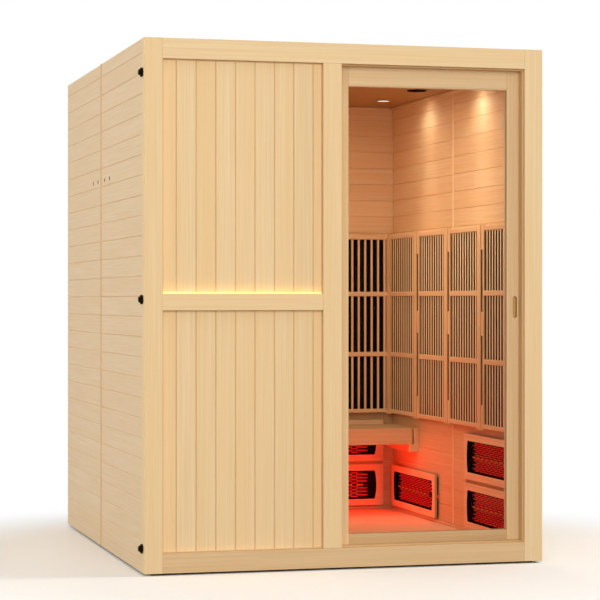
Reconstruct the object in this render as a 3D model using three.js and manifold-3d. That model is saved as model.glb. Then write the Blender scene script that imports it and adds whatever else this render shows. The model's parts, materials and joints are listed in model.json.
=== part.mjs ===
// An infrared sauna cabin: a framed front with a sliding glass door, boarded walls,
// slatted heater guards, low red heaters and a bench along the back wall.
// Millimetres, +Z up, +X to the right seen from the front, +Y towards the back.
// The origin lies at the middle of the base, on the floor that the cabin stands on.

import * as THREE from 'three';
import { mergeVertices } from 'three/addons/utils/BufferGeometryUtils.js';
import Module from 'manifold-3d';

const wasm = await Module();
wasm.setup();

// Overall size and the gap left between neighbouring pieces
const CABIN_WIDTH = 1500;
const CABIN_DEPTH = 1752;
const CABIN_HEIGHT = 1903;
const FIT = 0.3;

// Base and floor
const BASE_HEIGHT = 7.7;
const BASE_INSET = 30;
const BASE_BAR_WIDTH = 60;
const FLOOR_THICKNESS = 33;

// Front frame
const POST_DEPTH = 46;
const LEFT_POST_WIDTH = 66;
const MIDDLE_POST_WIDTH = 69;
const RIGHT_POST_WIDTH = 69.5;
const DOORWAY_WIDTH = 705.5;
const TOP_RAIL_HEIGHT = 72.5;
const MIDDLE_RAIL_HEIGHT = 59.5;
const BOTTOM_RAIL_HEIGHT = 71;
const LOWER_PANEL_HEIGHT = 859.5;

// Tongue-and-groove boards of the panels and walls
const BOARD_FACE = 72;
const GROOVE_WIDTH = 4;
const GROOVE_DEPTH = 2.5;
const PANEL_RECESS = 20;
const PANEL_THICKNESS = 14;
const PANEL_FIRST_BOARD = 53;
const WALL_THICKNESS = 36;
const WALL_FIRST_BOARD = 44;

// Glowing strip on the middle rail
const LED_HEIGHT = 6.5;
const LED_DEPTH = 8;
const LED_END_GAP = 4;

// Seam between the two halves of a side wall: its cover strip and the blind holes beside it
const SEAM_BEHIND_MIDDLE = 19;
const STRIP_WIDTH = 12;
const STRIP_PROUD = 2;
const STRIP_RISE = 3;
const CLAMP_HOLE_DIAMETER = 16;
const CLAMP_HOLE_DEPTH = 14;
const CLAMP_HOLE_BELOW_TOP = 460;
const CLAMP_HOLE_OFFSETS = [77, 186];

// Thumb-screw knobs in the left corner post
const LOWER_KNOB_ABOVE_BOTTOM = 87;
const MIDDLE_KNOB_ABOVE_RAIL = 38.5;
const UPPER_KNOB_BELOW_TOP = 121;
const KNOB_BEHIND_FRONT = 33;
const KNOB_FLANGE_DIAMETER = 34;
const KNOB_FLANGE_THICKNESS = 5;
const KNOB_BOSS_DIAMETER = 17;
const KNOB_LENGTH = 14.5;
const KNOB_CHAMFER = 1.5;
const STUD_DIAMETER = 8;
const STUD_LENGTH = 24;

// Trim inside the doorway
const TRIM_SET_BACK = 14;
const TRIM_THICKNESS = 6;

// Sliding door leaf
const DOOR_RUNNING_GAP = 4;
const DOOR_THICKNESS = 34;
const DOOR_BEHIND_MIDDLE_POST = 30;
const DOOR_BEHIND_RIGHT_POST = 19.5;
const DOOR_FLOOR_GAP = 11;
const DOOR_HEAD_GAP = 2.5;
const STILE_WIDTH = 71;
const DOOR_TOP_RAIL_HEIGHT = 73;
const DOOR_BOTTOM_RAIL_HEIGHT = 71;
const GLASS_THICKNESS = 6;
const GLASS_GROOVE_DEPTH = 8;
const BEAD_WIDTH = 8.5;
const BEAD_BOTTOM_WIDTH = 17;
const BEAD_FALL = 3;
const PULL_WIDTH = 15.5;
const PULL_HEIGHT = 81;
const PULL_DEPTH = 10;
const PULL_FROM_EDGE = 40;
const PULL_ABOVE_FLOOR = 908;

// Door gear: C-shaped track behind the top rail, hangers, wheels and floor guide
const TRACK_WALL = 3;
const TRACK_LIFT = 6;
const TRACK_HEIGHT = 62;
const TRACK_LEDGE_WIDTH = 17;
const TRACK_END_GAP = 5;
const WHEEL_DIAMETER = 30;
const WHEEL_WIDTH = 9;
const WHEEL_FROM_TRACK_WEB = 5;
const AXLE_DIAMETER = 8;
const AXLE_HEAD_DIAMETER = 13;
const AXLE_HEAD_LENGTH = 3;
const HANGER_PLATE_THICKNESS = 3;
const HANGER_WIDTH = 44;
const HANGER_FOOT_REACH = 22;
const HANGER_TOP_MARGIN = 8;
const HANGER_FROM_END = 120;
const HANGER_BEHIND_LEDGE = 2;
const GUIDE_LENGTH = 40;
const GUIDE_FIN_THICKNESS = 6;
const GUIDE_FIN_ENGAGEMENT = 9;
const GUIDE_PLATE_WIDTH = 26;
const GUIDE_PLATE_THICKNESS = 4;
const GUIDE_SLOT_WIDTH = 8.6;
const GUIDE_SLOT_DEPTH = 12;
const GUIDE_FROM_MIDDLE_POST = 25;

// Pocket lining behind the left front panel, and the track cover over the doorway
const POCKET_GAP = 4;
const LINING_THICKNESS = 12;
const LINING_TOP_GAP = 3;
const TRACK_COVER_DROP = 26;

// Roof and what it carries
const ROOF_WELL = 65;
const ROOF_THICKNESS = 18;
const LAMP_FLANGE_DIAMETER = 64;
const LAMP_CAN_DIAMETER = 50;
const LAMP_CAN_HEIGHT = 47;
const SPEAKER_FLANGE_DIAMETER = 80;
const SPEAKER_CAN_DIAMETER = 64;
const SPEAKER_CAN_HEIGHT = 40;
const FITTING_FLANGE_THICKNESS = 3.5;
const FITTING_FROM_WALL = 148;
const SPEAKER_BEHIND_MIDDLE = 52;
const LAMP_SPACING = 458;
const POWER_UNIT_SIZE = [360, 240, 38];
const POWER_UNIT_CENTRE = [-120, 420];
const POWER_UNIT_EAR = 22;
const POWER_UNIT_EAR_THICKNESS = 3;
const CONTROL_SIZE = [180, 14, 110];
const CONTROL_CORNER = 14;
const CONTROL_FROM_DOORWAY = 130;
const CONTROL_ABOVE_FLOOR = 1409;

// Bench
const BENCH_DEPTH = 369;
const BENCH_HEIGHT = 380;
const BENCH_THICKNESS = 24;
const BENCH_REAR_GAP = 25;
const FASCIA_HEIGHT = 69;
const FASCIA_THICKNESS = 22;
const FASCIA_END_GROOVE = 6;
const CLEAT_WIDTH = 22;
const LEDGER_WIDTH = 42;
const LEDGER_HEIGHT = 32;
const BATTEN_WIDTH = 46;
const BATTEN_COUNT = 4;

// Slatted guards and the carbon panels behind them
const GUARD_RAIL_FROM_WALL = 34;
const GUARD_POST_PROUD = 4;
const GUARD_THICKNESS = 12;
const GUARD_ABOVE_BENCH = 51;
const GUARD_ABOVE_HEATERS = 32;
const GUARD_BOTTOM_RAIL = 18;
const GUARD_RAIL = 20;
const GUARD_LOWER_ROW_HEIGHT = 234;
const GUARD_MIDDLE_ROW_HEIGHT = 248;
const GUARD_UPPER_ROW_HEIGHT = 233;
const GUARD_CAP_THICKNESS = 13;
const POST_OVERHANG = 4;
const SLAT_WIDTH = 10;
const SLAT_GAP = 20;
const POST_WIDTH = 80;
const POST_SLOT_WIDTH = 14;
const POST_SLOT_FROM_FRONT = 15;
const POST_SLOTS_ABOVE_BOTTOM = [[93, 364], [457, 701]];
const SIDE_FIELD_GAPS = 11;
const SIDE_FIRST_FIELD_FROM_BACK = 87;
const SIDE_END_POST_LEAST = 30;
const BACK_SIDE_FIELD_GAPS = 10;
const BACK_END_NOTCH = 7.5;
const CARBON_BEHIND_SLATS = 4;
const CARBON_EDGE = 2;

// Red heaters: frame boards on trays with a folded emitter in each opening
const HEATER_LENGTH = 600;
const HEATER_HEIGHT = 184;
const HEATER_BOARD_THICKNESS = 12;
const HEATER_TRAY_THICKNESS = 7.4;
const HEATER_TRAY_INSET = 12;
const HEATER_TRAY_FLOOR = 1;
const HEATER_ABOVE_FLOOR = 17;
const HEATER_ROWS = 2;
const HEATER_ROW_GAP = 14;
const HEATER_ROW_GAP_DEPTH = 9;
const HEATER_STILE = 41;
const HEATER_RAIL = 29;
const HEATER_OPENING_BULGE = 8;
const EMITTER_END_MARGIN = 31;
const EMITTER_EDGE_MARGIN = 6;
const EMITTER_RIDGE_RECESS = 5.3;
const EMITTER_EDGE_RECESS = 10;
const EMITTER_TROUGH_RECESS = 17.5;
const EMITTER_RIDGE_WIDTH = 34;
const BACK_HEATER_FROM_CORNER = 51;
const BACK_HEATER_COLUMNS = 2;
const BACK_HEATER_COLUMN_GAP = 126;
const CORNER_HEATER_FROM_BACK = 38;
const FRONT_HEATER_FROM_LINING = 12;

// How far a cutter reaches past the face it opens
const CUT_PAST = 1;

// Corners closer than this are one corner
const SAME_CORNER = 1e-4;

// Counts of sides on round pieces
const KNOB_SIDES = 16;
const ROUND_SIDES = 16;
const ARC_STEPS = 6;

// Places worked out from the sizes above
const HALF_WIDTH = CABIN_WIDTH / 2;
const FRONT = -CABIN_DEPTH / 2;
const BACK = CABIN_DEPTH / 2;
const INNER_X = HALF_WIDTH - WALL_THICKNESS;
const INNER_BACK = BACK - WALL_THICKNESS;
const FRAME_BACK = FRONT + POST_DEPTH;
const WOOD_BOTTOM = BASE_HEIGHT + FIT;
const FLOOR_TOP = WOOD_BOTTOM + FLOOR_THICKNESS;
const LEFT_POST_EDGE = -HALF_WIDTH + LEFT_POST_WIDTH;
const DOORWAY_RIGHT = HALF_WIDTH - RIGHT_POST_WIDTH;
const DOORWAY_LEFT = DOORWAY_RIGHT - DOORWAY_WIDTH;
const MIDDLE_POST_EDGE = DOORWAY_LEFT - MIDDLE_POST_WIDTH;
const TOP_RAIL_BOTTOM = CABIN_HEIGHT - TOP_RAIL_HEIGHT;
const BOTTOM_RAIL_TOP = WOOD_BOTTOM + BOTTOM_RAIL_HEIGHT;
const MIDDLE_RAIL_BOTTOM = BOTTOM_RAIL_TOP + LOWER_PANEL_HEIGHT;
const MIDDLE_RAIL_TOP = MIDDLE_RAIL_BOTTOM + MIDDLE_RAIL_HEIGHT;
const PANEL_FACE = FRONT + PANEL_RECESS;
const SEAM = SEAM_BEHIND_MIDDLE;
const STRIP_ROOT = GROOVE_DEPTH + CUT_PAST;
const KNOB_HEIGHTS = {
  lower: WOOD_BOTTOM + LOWER_KNOB_ABOVE_BOTTOM,
  middle: MIDDLE_RAIL_BOTTOM + MIDDLE_KNOB_ABOVE_RAIL,
  upper: CABIN_HEIGHT - UPPER_KNOB_BELOW_TOP,
};

const DOOR_FRONT = FRAME_BACK + DOOR_RUNNING_GAP;
const DOOR_BACK = DOOR_FRONT + DOOR_THICKNESS;
const DOOR_MIDDLE = DOOR_FRONT + DOOR_THICKNESS / 2;
const DOOR_LEFT = DOORWAY_LEFT - DOOR_BEHIND_MIDDLE_POST;
const DOOR_RIGHT = DOORWAY_RIGHT + DOOR_BEHIND_RIGHT_POST;
const DOOR_BOTTOM = FLOOR_TOP + DOOR_FLOOR_GAP;
const DOOR_TOP = TOP_RAIL_BOTTOM - DOOR_HEAD_GAP;
const PANE_LEFT = DOOR_LEFT + STILE_WIDTH;
const PANE_RIGHT = DOOR_RIGHT - STILE_WIDTH;
const PANE_BOTTOM = DOOR_BOTTOM + DOOR_BOTTOM_RAIL_HEIGHT;
const PANE_TOP = DOOR_TOP - DOOR_TOP_RAIL_HEIGHT;

const TRACK_BOTTOM = DOOR_TOP + TRACK_LIFT;
const TRACK_WEB_FRONT = FRAME_BACK + FIT;
const TRACK_WEB_BACK = TRACK_WEB_FRONT + TRACK_WALL;
const LEDGE_TOP = TRACK_BOTTOM + TRACK_WALL;
const LEDGE_BACK = TRACK_WEB_BACK + TRACK_LEDGE_WIDTH;
const WHEEL_CENTRE_Z = LEDGE_TOP + FIT + WHEEL_DIAMETER / 2;
const WHEEL_FRONT = TRACK_WEB_BACK + WHEEL_FROM_TRACK_WEB;
const WHEEL_BACK = WHEEL_FRONT + WHEEL_WIDTH;
const HANGER_FRONT = LEDGE_BACK + HANGER_BEHIND_LEDGE;
const HANGER_BACK = HANGER_FRONT + HANGER_PLATE_THICKNESS;
const HANGER_X = [DOOR_LEFT + HANGER_FROM_END, DOOR_RIGHT - HANGER_FROM_END];

const LINING_FRONT = DOOR_BACK + POCKET_GAP;
const LINING_BACK = LINING_FRONT + LINING_THICKNESS;
const LINING_TOP = CABIN_HEIGHT - LINING_TOP_GAP;
const CEILING_HEIGHT = CABIN_HEIGHT - ROOF_WELL;
const ROOF_TOP = CEILING_HEIGHT + ROOF_THICKNESS;
const FITTING_X = INNER_X - FITTING_FROM_WALL;
const LAMP_Y = [SPEAKER_BEHIND_MIDDLE + LAMP_SPACING, SPEAKER_BEHIND_MIDDLE - LAMP_SPACING];

const BENCH_TOP = FLOOR_TOP + BENCH_HEIGHT;
const BENCH_FRONT = INNER_BACK - BENCH_DEPTH;
const BENCH_REAR = INNER_BACK - BENCH_REAR_GAP;
const FASCIA_BOTTOM = BENCH_TOP - FASCIA_HEIGHT;
const FASCIA_HALF = INNER_X - FIT - CLEAT_WIDTH - FASCIA_END_GROOVE;

const HEATER_BOTTOM = FLOOR_TOP + HEATER_ABOVE_FLOOR;
const HEATER_ROW_STEP = HEATER_HEIGHT + HEATER_ROW_GAP;
const HEATER_TOP = HEATER_BOTTOM + HEATER_ROWS * HEATER_ROW_STEP - HEATER_ROW_GAP;
const HEATER_OPENING_HEIGHT = HEATER_HEIGHT - 2 * HEATER_RAIL;

const GUARD_BOTTOM = Math.max(BENCH_TOP + GUARD_ABOVE_BENCH, HEATER_TOP + GUARD_ABOVE_HEATERS);
const GUARD_ROWS = [];
for (const height of [GUARD_LOWER_ROW_HEIGHT, GUARD_MIDDLE_ROW_HEIGHT, GUARD_UPPER_ROW_HEIGHT]) {
  const below = GUARD_ROWS.at(-1);
  const start = below ? below[1] + GUARD_RAIL : GUARD_BOTTOM + GUARD_BOTTOM_RAIL;
  GUARD_ROWS.push([start, start + height]);
}
const GUARD_TOP = GUARD_ROWS.at(-1)[1] + GUARD_RAIL;
const GUARD_POST_FACE = GUARD_RAIL_FROM_WALL + GUARD_POST_PROUD;
const CARBON_FROM_WALL = GUARD_RAIL_FROM_WALL - GUARD_THICKNESS - CARBON_BEHIND_SLATS;
const WALL_STAND_OFF = STRIP_PROUD + FIT;
const HEATER_BACK_FROM_WALL = FIT + HEATER_TRAY_THICKNESS + FIT;
const HEATER_FACE_FROM_WALL = HEATER_BACK_FROM_WALL + HEATER_BOARD_THICKNESS;

// Finishes
const finish = (color, roughness, metalness = 0) =>
  new THREE.MeshStandardMaterial({ color, roughness, metalness });
const FRONT_WOOD = finish('#e9cb9c', 0.6);
const WALL_WOOD = finish('#ddc29b', 0.65);
const DOOR_WOOD = finish('#dab787', 0.6);
const INSIDE_WOOD = finish('#d09a64', 0.6);
const PANE = new THREE.MeshStandardMaterial({
  color: '#dfe7e2', roughness: 0.05, transparent: true, opacity: 0.2,
});
const BLACK_PLASTIC = finish('#15130f', 0.4);
const CARBON = finish('#0f0d0b', 0.55);
const DARK_BASE = finish('#3a2f25', 0.8);
const ALUMINIUM = finish('#b8babb', 0.35, 1);
const STEEL = finish('#8d9093', 0.4, 1);
const NYLON = finish('#e4e2da', 0.5);
const GREY_METAL = finish('#6c7072', 0.5, 0.6);
const LAMP_WHITE = finish('#f7f4ec', 0.4);
const EMITTER_RED = finish('#c8150f', 0.55);
const LED_GLOW = new THREE.MeshStandardMaterial({
  color: '#fff0a0', roughness: 0.4, emissive: '#ffd850', emissiveIntensity: 1,
});

// Building blocks

const CABIN = new THREE.Group();

function place(name, geometry, material) {
  const mesh = new THREE.Mesh(geometry, material);
  mesh.name = name;
  CABIN.add(mesh);
}

// A block between two limits on each axis
function box(x, y, z) {
  const geometry = new THREE.BoxGeometry(1, 1, 1);
  const corners = geometry.attributes.position;
  for (let i = 0; i < corners.count; i += 1) {
    const end = [corners.getX(i), corners.getY(i), corners.getZ(i)].map((value) => (value > 0 ? 1 : 0));
    corners.setXYZ(i, x[end[0]], y[end[1]], z[end[2]]);
  }
  return geometry;
}

const AXIS_ORDER = { x: 'yzx', y: 'zxy', z: 'xyz' };
const UNIT = {
  x: new THREE.Vector3(1, 0, 0),
  y: new THREE.Vector3(0, 1, 0),
  z: new THREE.Vector3(0, 0, 1),
};

// Extrudes an outline along one axis. The outline's coordinates are the two axes that follow
// that axis in turn: (y, z) along X, (z, x) along Y and (x, y) along Z.
function extrude(axis, outline, from, to) {
  const shape = new THREE.Shape(outline.map(([u, v]) => new THREE.Vector2(u, v)));
  const geometry = new THREE.ExtrudeGeometry(shape, { depth: to - from, bevelEnabled: false });
  const basis = [...AXIS_ORDER[axis]].map((name) => UNIT[name]);
  return geometry.translate(0, 0, from).applyMatrix4(new THREE.Matrix4().makeBasis(...basis));
}

// A turned piece standing on +Z, from pairs of radius and height
function turned(profile, sides) {
  const points = profile.map(([radius, height]) => new THREE.Vector2(radius, height));
  return new THREE.LatheGeometry(points, sides).rotateX(Math.PI / 2);
}

// A round bar along one axis; `at` holds its place on the two axes that follow in turn
function roundBar(axis, diameter, [from, to], at) {
  const bar = new THREE.CylinderGeometry(diameter / 2, diameter / 2, to - from, ROUND_SIDES);
  bar.rotateX(Math.PI / 2).translate(at[0], at[1], (from + to) / 2);
  const basis = [...AXIS_ORDER[axis]].map((name) => UNIT[name]);
  return bar.applyMatrix4(new THREE.Matrix4().makeBasis(...basis));
}

function arcPoints([centreU, centreV], radius, from, to, steps) {
  const points = [];
  for (let i = 0; i <= steps; i += 1) {
    const angle = from + (to - from) * i / steps;
    points.push([centreU + radius * Math.cos(angle), centreV + radius * Math.sin(angle)]);
  }
  return points;
}

function roundedRectangle([u0, u1], [v0, v1], radius) {
  const quarter = Math.PI / 2;
  return [
    ...arcPoints([u1 - radius, v1 - radius], radius, 0, quarter, ARC_STEPS),
    ...arcPoints([u0 + radius, v1 - radius], radius, quarter, 2 * quarter, ARC_STEPS),
    ...arcPoints([u0 + radius, v0 + radius], radius, 2 * quarter, 3 * quarter, ARC_STEPS),
    ...arcPoints([u1 - radius, v0 + radius], radius, 3 * quarter, 4 * quarter, ARC_STEPS),
  ];
}

function toSolid(geometry) {
  const bare = geometry.clone();
  bare.deleteAttribute('normal');
  bare.deleteAttribute('uv');
  const merged = mergeVertices(bare, SAME_CORNER);
  const index = merged.index.array;
  const triangles = [];
  for (let i = 0; i < index.length; i += 3) {
    const [a, b, c] = [index[i], index[i + 1], index[i + 2]];
    if (a !== b && b !== c && c !== a) triangles.push(a, b, c);
  }
  return new wasm.Manifold(new wasm.Mesh({
    numProp: 3,
    vertProperties: new Float32Array(merged.attributes.position.array),
    triVerts: new Uint32Array(triangles),
  }));
}

function toGeometry(solid) {
  const mesh = solid.getMesh();
  const geometry = new THREE.BufferGeometry();
  geometry.setAttribute('position', new THREE.BufferAttribute(new Float32Array(mesh.vertProperties), 3));
  geometry.setIndex(new THREE.BufferAttribute(new Uint32Array(mesh.triVerts), 1));
  return geometry;
}

// Joins the first list of shapes, then cuts the second list from the result
function carve(shapes, cuts = []) {
  let solid = toSolid(shapes[0]);
  for (const shape of shapes.slice(1)) solid = solid.add(toSolid(shape));
  for (const cut of cuts) solid = solid.subtract(toSolid(cut));
  return toGeometry(solid);
}

function past([from, to]) {
  return [from - CUT_PAST, to + CUT_PAST];
}

function centred(middle, length) {
  return [middle - length / 2, middle + length / 2];
}

// A range of distances from the middle, on the right side (+1) or mirrored to the left (-1)
function sided(side, [near, far]) {
  return side > 0 ? [near, far] : [-far, -near];
}

function evenly(first, step, limit) {
  const places = [];
  for (let at = first; at < limit; at += step) places.push(at);
  return places;
}

// The cutter of one V-groove along an axis. `across` is its place on the board's face,
// `face` the level of that face, and `inward` the way into the wood.
function groove(axis, across, face, inward, length) {
  const mouth = (GROOVE_WIDTH / 2) * (1 + CUT_PAST / GROOVE_DEPTH);
  const outside = face - inward * CUT_PAST;
  const tip = face + inward * GROOVE_DEPTH;
  const corners = [[across - mouth, outside], [across + mouth, outside], [across, tip]];
  const outline = axis === 'x' ? corners.map(([u, v]) => [v, u]) : corners;
  return extrude(axis, outline, ...past(length));
}

// Inner wall faces: a block given by its place along the wall, its distances from the wall and its height
const ON_WALL = {
  left: (along, off, z) => box([-INNER_X + off[0], -INNER_X + off[1]], along, z),
  right: (along, off, z) => box([INNER_X - off[1], INNER_X - off[0]], along, z),
  back: (along, off, z) => box(along, [INNER_BACK - off[1], INNER_BACK - off[0]], z),
};

// Base and floor

function baseFrame() {
  const halfX = HALF_WIDTH - BASE_INSET;
  const halfY = BACK - BASE_INSET;
  const z = [0, BASE_HEIGHT];
  const y = [-halfY + BASE_BAR_WIDTH, halfY - BASE_BAR_WIDTH];
  const bay = [BASE_BAR_WIDTH / 2, halfX - BASE_BAR_WIDTH];
  const bays = [-1, 1].map((side) => box(sided(side, bay), y, past(z)));
  return carve([box([-halfX, halfX], [-halfY, halfY], z)], bays);
}

const INSIDE_X = [-INNER_X + FIT, INNER_X - FIT];
place('base_frame', baseFrame(), DARK_BASE);
place('floor_panel', box(INSIDE_X, [FRAME_BACK + FIT, INNER_BACK - FIT],
  [WOOD_BOTTOM, FLOOR_TOP]), INSIDE_WOOD);

// Side and back walls

const WALL_HEIGHT_RANGE = [WOOD_BOTTOM, CABIN_HEIGHT];
const OUTER_GROOVES = evenly(WOOD_BOTTOM + WALL_FIRST_BOARD, BOARD_FACE, CABIN_HEIGHT - GROOVE_WIDTH);
const INNER_GROOVES = OUTER_GROOVES.filter((z) => z > FLOOR_TOP && z < CEILING_HEIGHT);

function sideWall(side, y, holePlaces) {
  const outer = side * HALF_WIDTH;
  const inner = side * INNER_X;
  const holeHeight = CABIN_HEIGHT - CLAMP_HOLE_BELOW_TOP;
  const holeReach = sided(side, [HALF_WIDTH - CLAMP_HOLE_DEPTH, HALF_WIDTH + CUT_PAST]);
  return carve([box(sided(side, [INNER_X, HALF_WIDTH]), y, WALL_HEIGHT_RANGE)], [
    ...OUTER_GROOVES.map((z) => groove('y', z, outer, -side, y)),
    ...INNER_GROOVES.map((z) => groove('y', z, inner, side, y)),
    ...holePlaces.map((at) => roundBar('x', CLAMP_HOLE_DIAMETER, holeReach, [at, holeHeight])),
  ]);
}

// Cover strips over the seam, inside and outside, rooted in the front half of the wall
function withSeamStrips(wall, side) {
  const cover = centred(SEAM, STRIP_WIDTH);
  const root = [cover[0], SEAM - FIT / 2];
  const outsideZ = [WOOD_BOTTOM, CABIN_HEIGHT + STRIP_RISE];
  const insideZ = [FLOOR_TOP + FIT, CEILING_HEIGHT - FIT];
  return carve([
    wall,
    box(sided(side, [HALF_WIDTH - STRIP_ROOT, HALF_WIDTH + STRIP_PROUD]), root, WALL_HEIGHT_RANGE),
    box(sided(side, [HALF_WIDTH + FIT, HALF_WIDTH + STRIP_PROUD]), cover, outsideZ),
    box(sided(side, [INNER_X - STRIP_PROUD, INNER_X + STRIP_ROOT]), root, insideZ),
    box(sided(side, [INNER_X - STRIP_PROUD, INNER_X - FIT]), cover, insideZ),
  ]);
}

function backWall() {
  return carve([box(INSIDE_X, [INNER_BACK, BACK], WALL_HEIGHT_RANGE)], [
    ...OUTER_GROOVES.map((z) => groove('x', z, BACK, -1, INSIDE_X)),
    ...INNER_GROOVES.map((z) => groove('x', z, INNER_BACK, 1, INSIDE_X)),
  ]);
}

for (const [name, side] of [['left', -1], ['right', 1]]) {
  const frontHoles = CLAMP_HOLE_OFFSETS.map((offset) => SEAM - offset);
  const rearHoles = CLAMP_HOLE_OFFSETS.map((offset) => SEAM + offset);
  const front = sideWall(side, [FRAME_BACK + FIT, SEAM - FIT / 2], frontHoles);
  const rear = sideWall(side, [SEAM + FIT / 2, BACK], rearHoles);
  place(`${name}_wall_front`, withSeamStrips(front, side), WALL_WOOD);
  place(`${name}_wall_rear`, rear, WALL_WOOD);
}
place('back_wall', backWall(), WALL_WOOD);

// Front frame, panels and glowing strip

const FRAME_Y = [FRONT, FRAME_BACK];
const FRAME_SPAN = [LEFT_POST_EDGE + FIT, DOORWAY_RIGHT - FIT];
const PANEL_SPAN = [LEFT_POST_EDGE + FIT, MIDDLE_POST_EDGE - FIT];
const KNOB_Y = FRONT + KNOB_BEHIND_FRONT;

// The left corner post with the blind bores of the knobs' studs
function knobPost() {
  const reach = [-HALF_WIDTH - CUT_PAST, STUD_LENGTH + CUT_PAST - HALF_WIDTH];
  const heights = Object.values(KNOB_HEIGHTS);
  const bores = heights.map((z) => roundBar('x', STUD_DIAMETER + 2 * FIT, reach, [KNOB_Y, z]));
  return carve([box([-HALF_WIDTH, LEFT_POST_EDGE], FRAME_Y, WALL_HEIGHT_RANGE)], bores);
}

function frontPanel(z) {
  const places = evenly(LEFT_POST_EDGE + PANEL_FIRST_BOARD, BOARD_FACE, MIDDLE_POST_EDGE - GROOVE_WIDTH);
  return carve(
    [box(PANEL_SPAN, [PANEL_FACE, PANEL_FACE + PANEL_THICKNESS], z)],
    places.map((x) => groove('z', x, PANEL_FACE, 1, z)),
  );
}

place('front_left_post', knobPost(), FRONT_WOOD);
place('front_right_post', box([DOORWAY_RIGHT, HALF_WIDTH], FRAME_Y, WALL_HEIGHT_RANGE), FRONT_WOOD);
place('front_middle_post', box([MIDDLE_POST_EDGE, DOORWAY_LEFT], FRAME_Y,
  [BOTTOM_RAIL_TOP + FIT, TOP_RAIL_BOTTOM - FIT]), FRONT_WOOD);
place('front_top_rail', box(FRAME_SPAN, FRAME_Y, [TOP_RAIL_BOTTOM, CABIN_HEIGHT]), FRONT_WOOD);
place('front_middle_rail', box(PANEL_SPAN, FRAME_Y, [MIDDLE_RAIL_BOTTOM, MIDDLE_RAIL_TOP]), FRONT_WOOD);
place('front_bottom_rail', box(FRAME_SPAN, FRAME_Y, [WOOD_BOTTOM, BOTTOM_RAIL_TOP]), FRONT_WOOD);
place('front_upper_panel', frontPanel([MIDDLE_RAIL_TOP + FIT, TOP_RAIL_BOTTOM - FIT]), FRONT_WOOD);
place('front_lower_panel', frontPanel([BOTTOM_RAIL_TOP + FIT, MIDDLE_RAIL_BOTTOM - FIT]), FRONT_WOOD);
place('led_strip', box(
  [PANEL_SPAN[0] + LED_END_GAP, PANEL_SPAN[1] - LED_END_GAP],
  [PANEL_FACE - FIT - LED_DEPTH, PANEL_FACE - FIT],
  [MIDDLE_RAIL_TOP + FIT, MIDDLE_RAIL_TOP + FIT + LED_HEIGHT],
), LED_GLOW);

// Thumb-screw knobs, each one turned piece with its stud

function knob(height) {
  const flange = KNOB_FLANGE_DIAMETER / 2;
  const boss = KNOB_BOSS_DIAMETER / 2;
  const stud = STUD_DIAMETER / 2;
  const profile = [
    [0, -STUD_LENGTH],
    [stud, -STUD_LENGTH],
    [stud, 0],
    [flange, 0],
    [flange, KNOB_FLANGE_THICKNESS - KNOB_CHAMFER],
    [flange - KNOB_CHAMFER, KNOB_FLANGE_THICKNESS],
    [boss, KNOB_FLANGE_THICKNESS + KNOB_CHAMFER],
    [boss, KNOB_LENGTH - KNOB_CHAMFER],
    [boss - KNOB_CHAMFER, KNOB_LENGTH],
    [0, KNOB_LENGTH],
  ];
  return turned(profile, KNOB_SIDES).rotateY(-Math.PI / 2).translate(-HALF_WIDTH - FIT, KNOB_Y, height);
}

for (const [level, height] of Object.entries(KNOB_HEIGHTS)) {
  place(`left_${level}_knob`, knob(height), BLACK_PLASTIC);
}

// Trim inside the doorway

const TRIM_Y = [FRONT + TRIM_SET_BACK, FRAME_BACK];
const TRIM_SPAN = [DOORWAY_LEFT + FIT, DOORWAY_RIGHT - FIT];
const HEAD_Z = [TOP_RAIL_BOTTOM - FIT - TRIM_THICKNESS, TOP_RAIL_BOTTOM - FIT];
const SILL_Z = [BOTTOM_RAIL_TOP + FIT, BOTTOM_RAIL_TOP + FIT + TRIM_THICKNESS];
place('doorway_head', box(TRIM_SPAN, TRIM_Y, HEAD_Z), DOOR_WOOD);
place('doorway_sill', box(TRIM_SPAN, TRIM_Y, SILL_Z), DOOR_WOOD);
place('doorway_jamb', box([TRIM_SPAN[1] - TRIM_THICKNESS, TRIM_SPAN[1]], TRIM_Y,
  [SILL_Z[1] + FIT, HEAD_Z[0] - FIT]), DOOR_WOOD);

// Door pocket lining and track cover

const LINING_Y = [LINING_FRONT, LINING_BACK];
const POCKET_SPAN = [INSIDE_X[0], DOORWAY_LEFT];

function pocketLining() {
  const z = [FLOOR_TOP + FIT, LINING_TOP];
  const places = evenly(POCKET_SPAN[0] + PANEL_FIRST_BOARD, BOARD_FACE, POCKET_SPAN[1] - GROOVE_WIDTH);
  return carve([box(POCKET_SPAN, LINING_Y, z)], places.map((x) => groove('z', x, LINING_BACK, -1, z)));
}

place('pocket_lining', pocketLining(), INSIDE_WOOD);
place('track_cover', box([DOORWAY_LEFT + FIT, INSIDE_X[1]], LINING_Y,
  [CEILING_HEIGHT - TRACK_COVER_DROP, LINING_TOP]), INSIDE_WOOD);

// Sliding door leaf

const DOOR_Y = [DOOR_FRONT, DOOR_BACK];
const DOOR_Z = [DOOR_BOTTOM, DOOR_TOP];
const GLASS_GROOVE_Y = centred(DOOR_MIDDLE, GLASS_THICKNESS + 2 * FIT);
const GUIDE_SLOT = box(past([DOOR_LEFT, DOOR_RIGHT]), centred(DOOR_MIDDLE, GUIDE_SLOT_WIDTH),
  [DOOR_BOTTOM - CUT_PAST, DOOR_BOTTOM + GUIDE_SLOT_DEPTH]);

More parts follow.
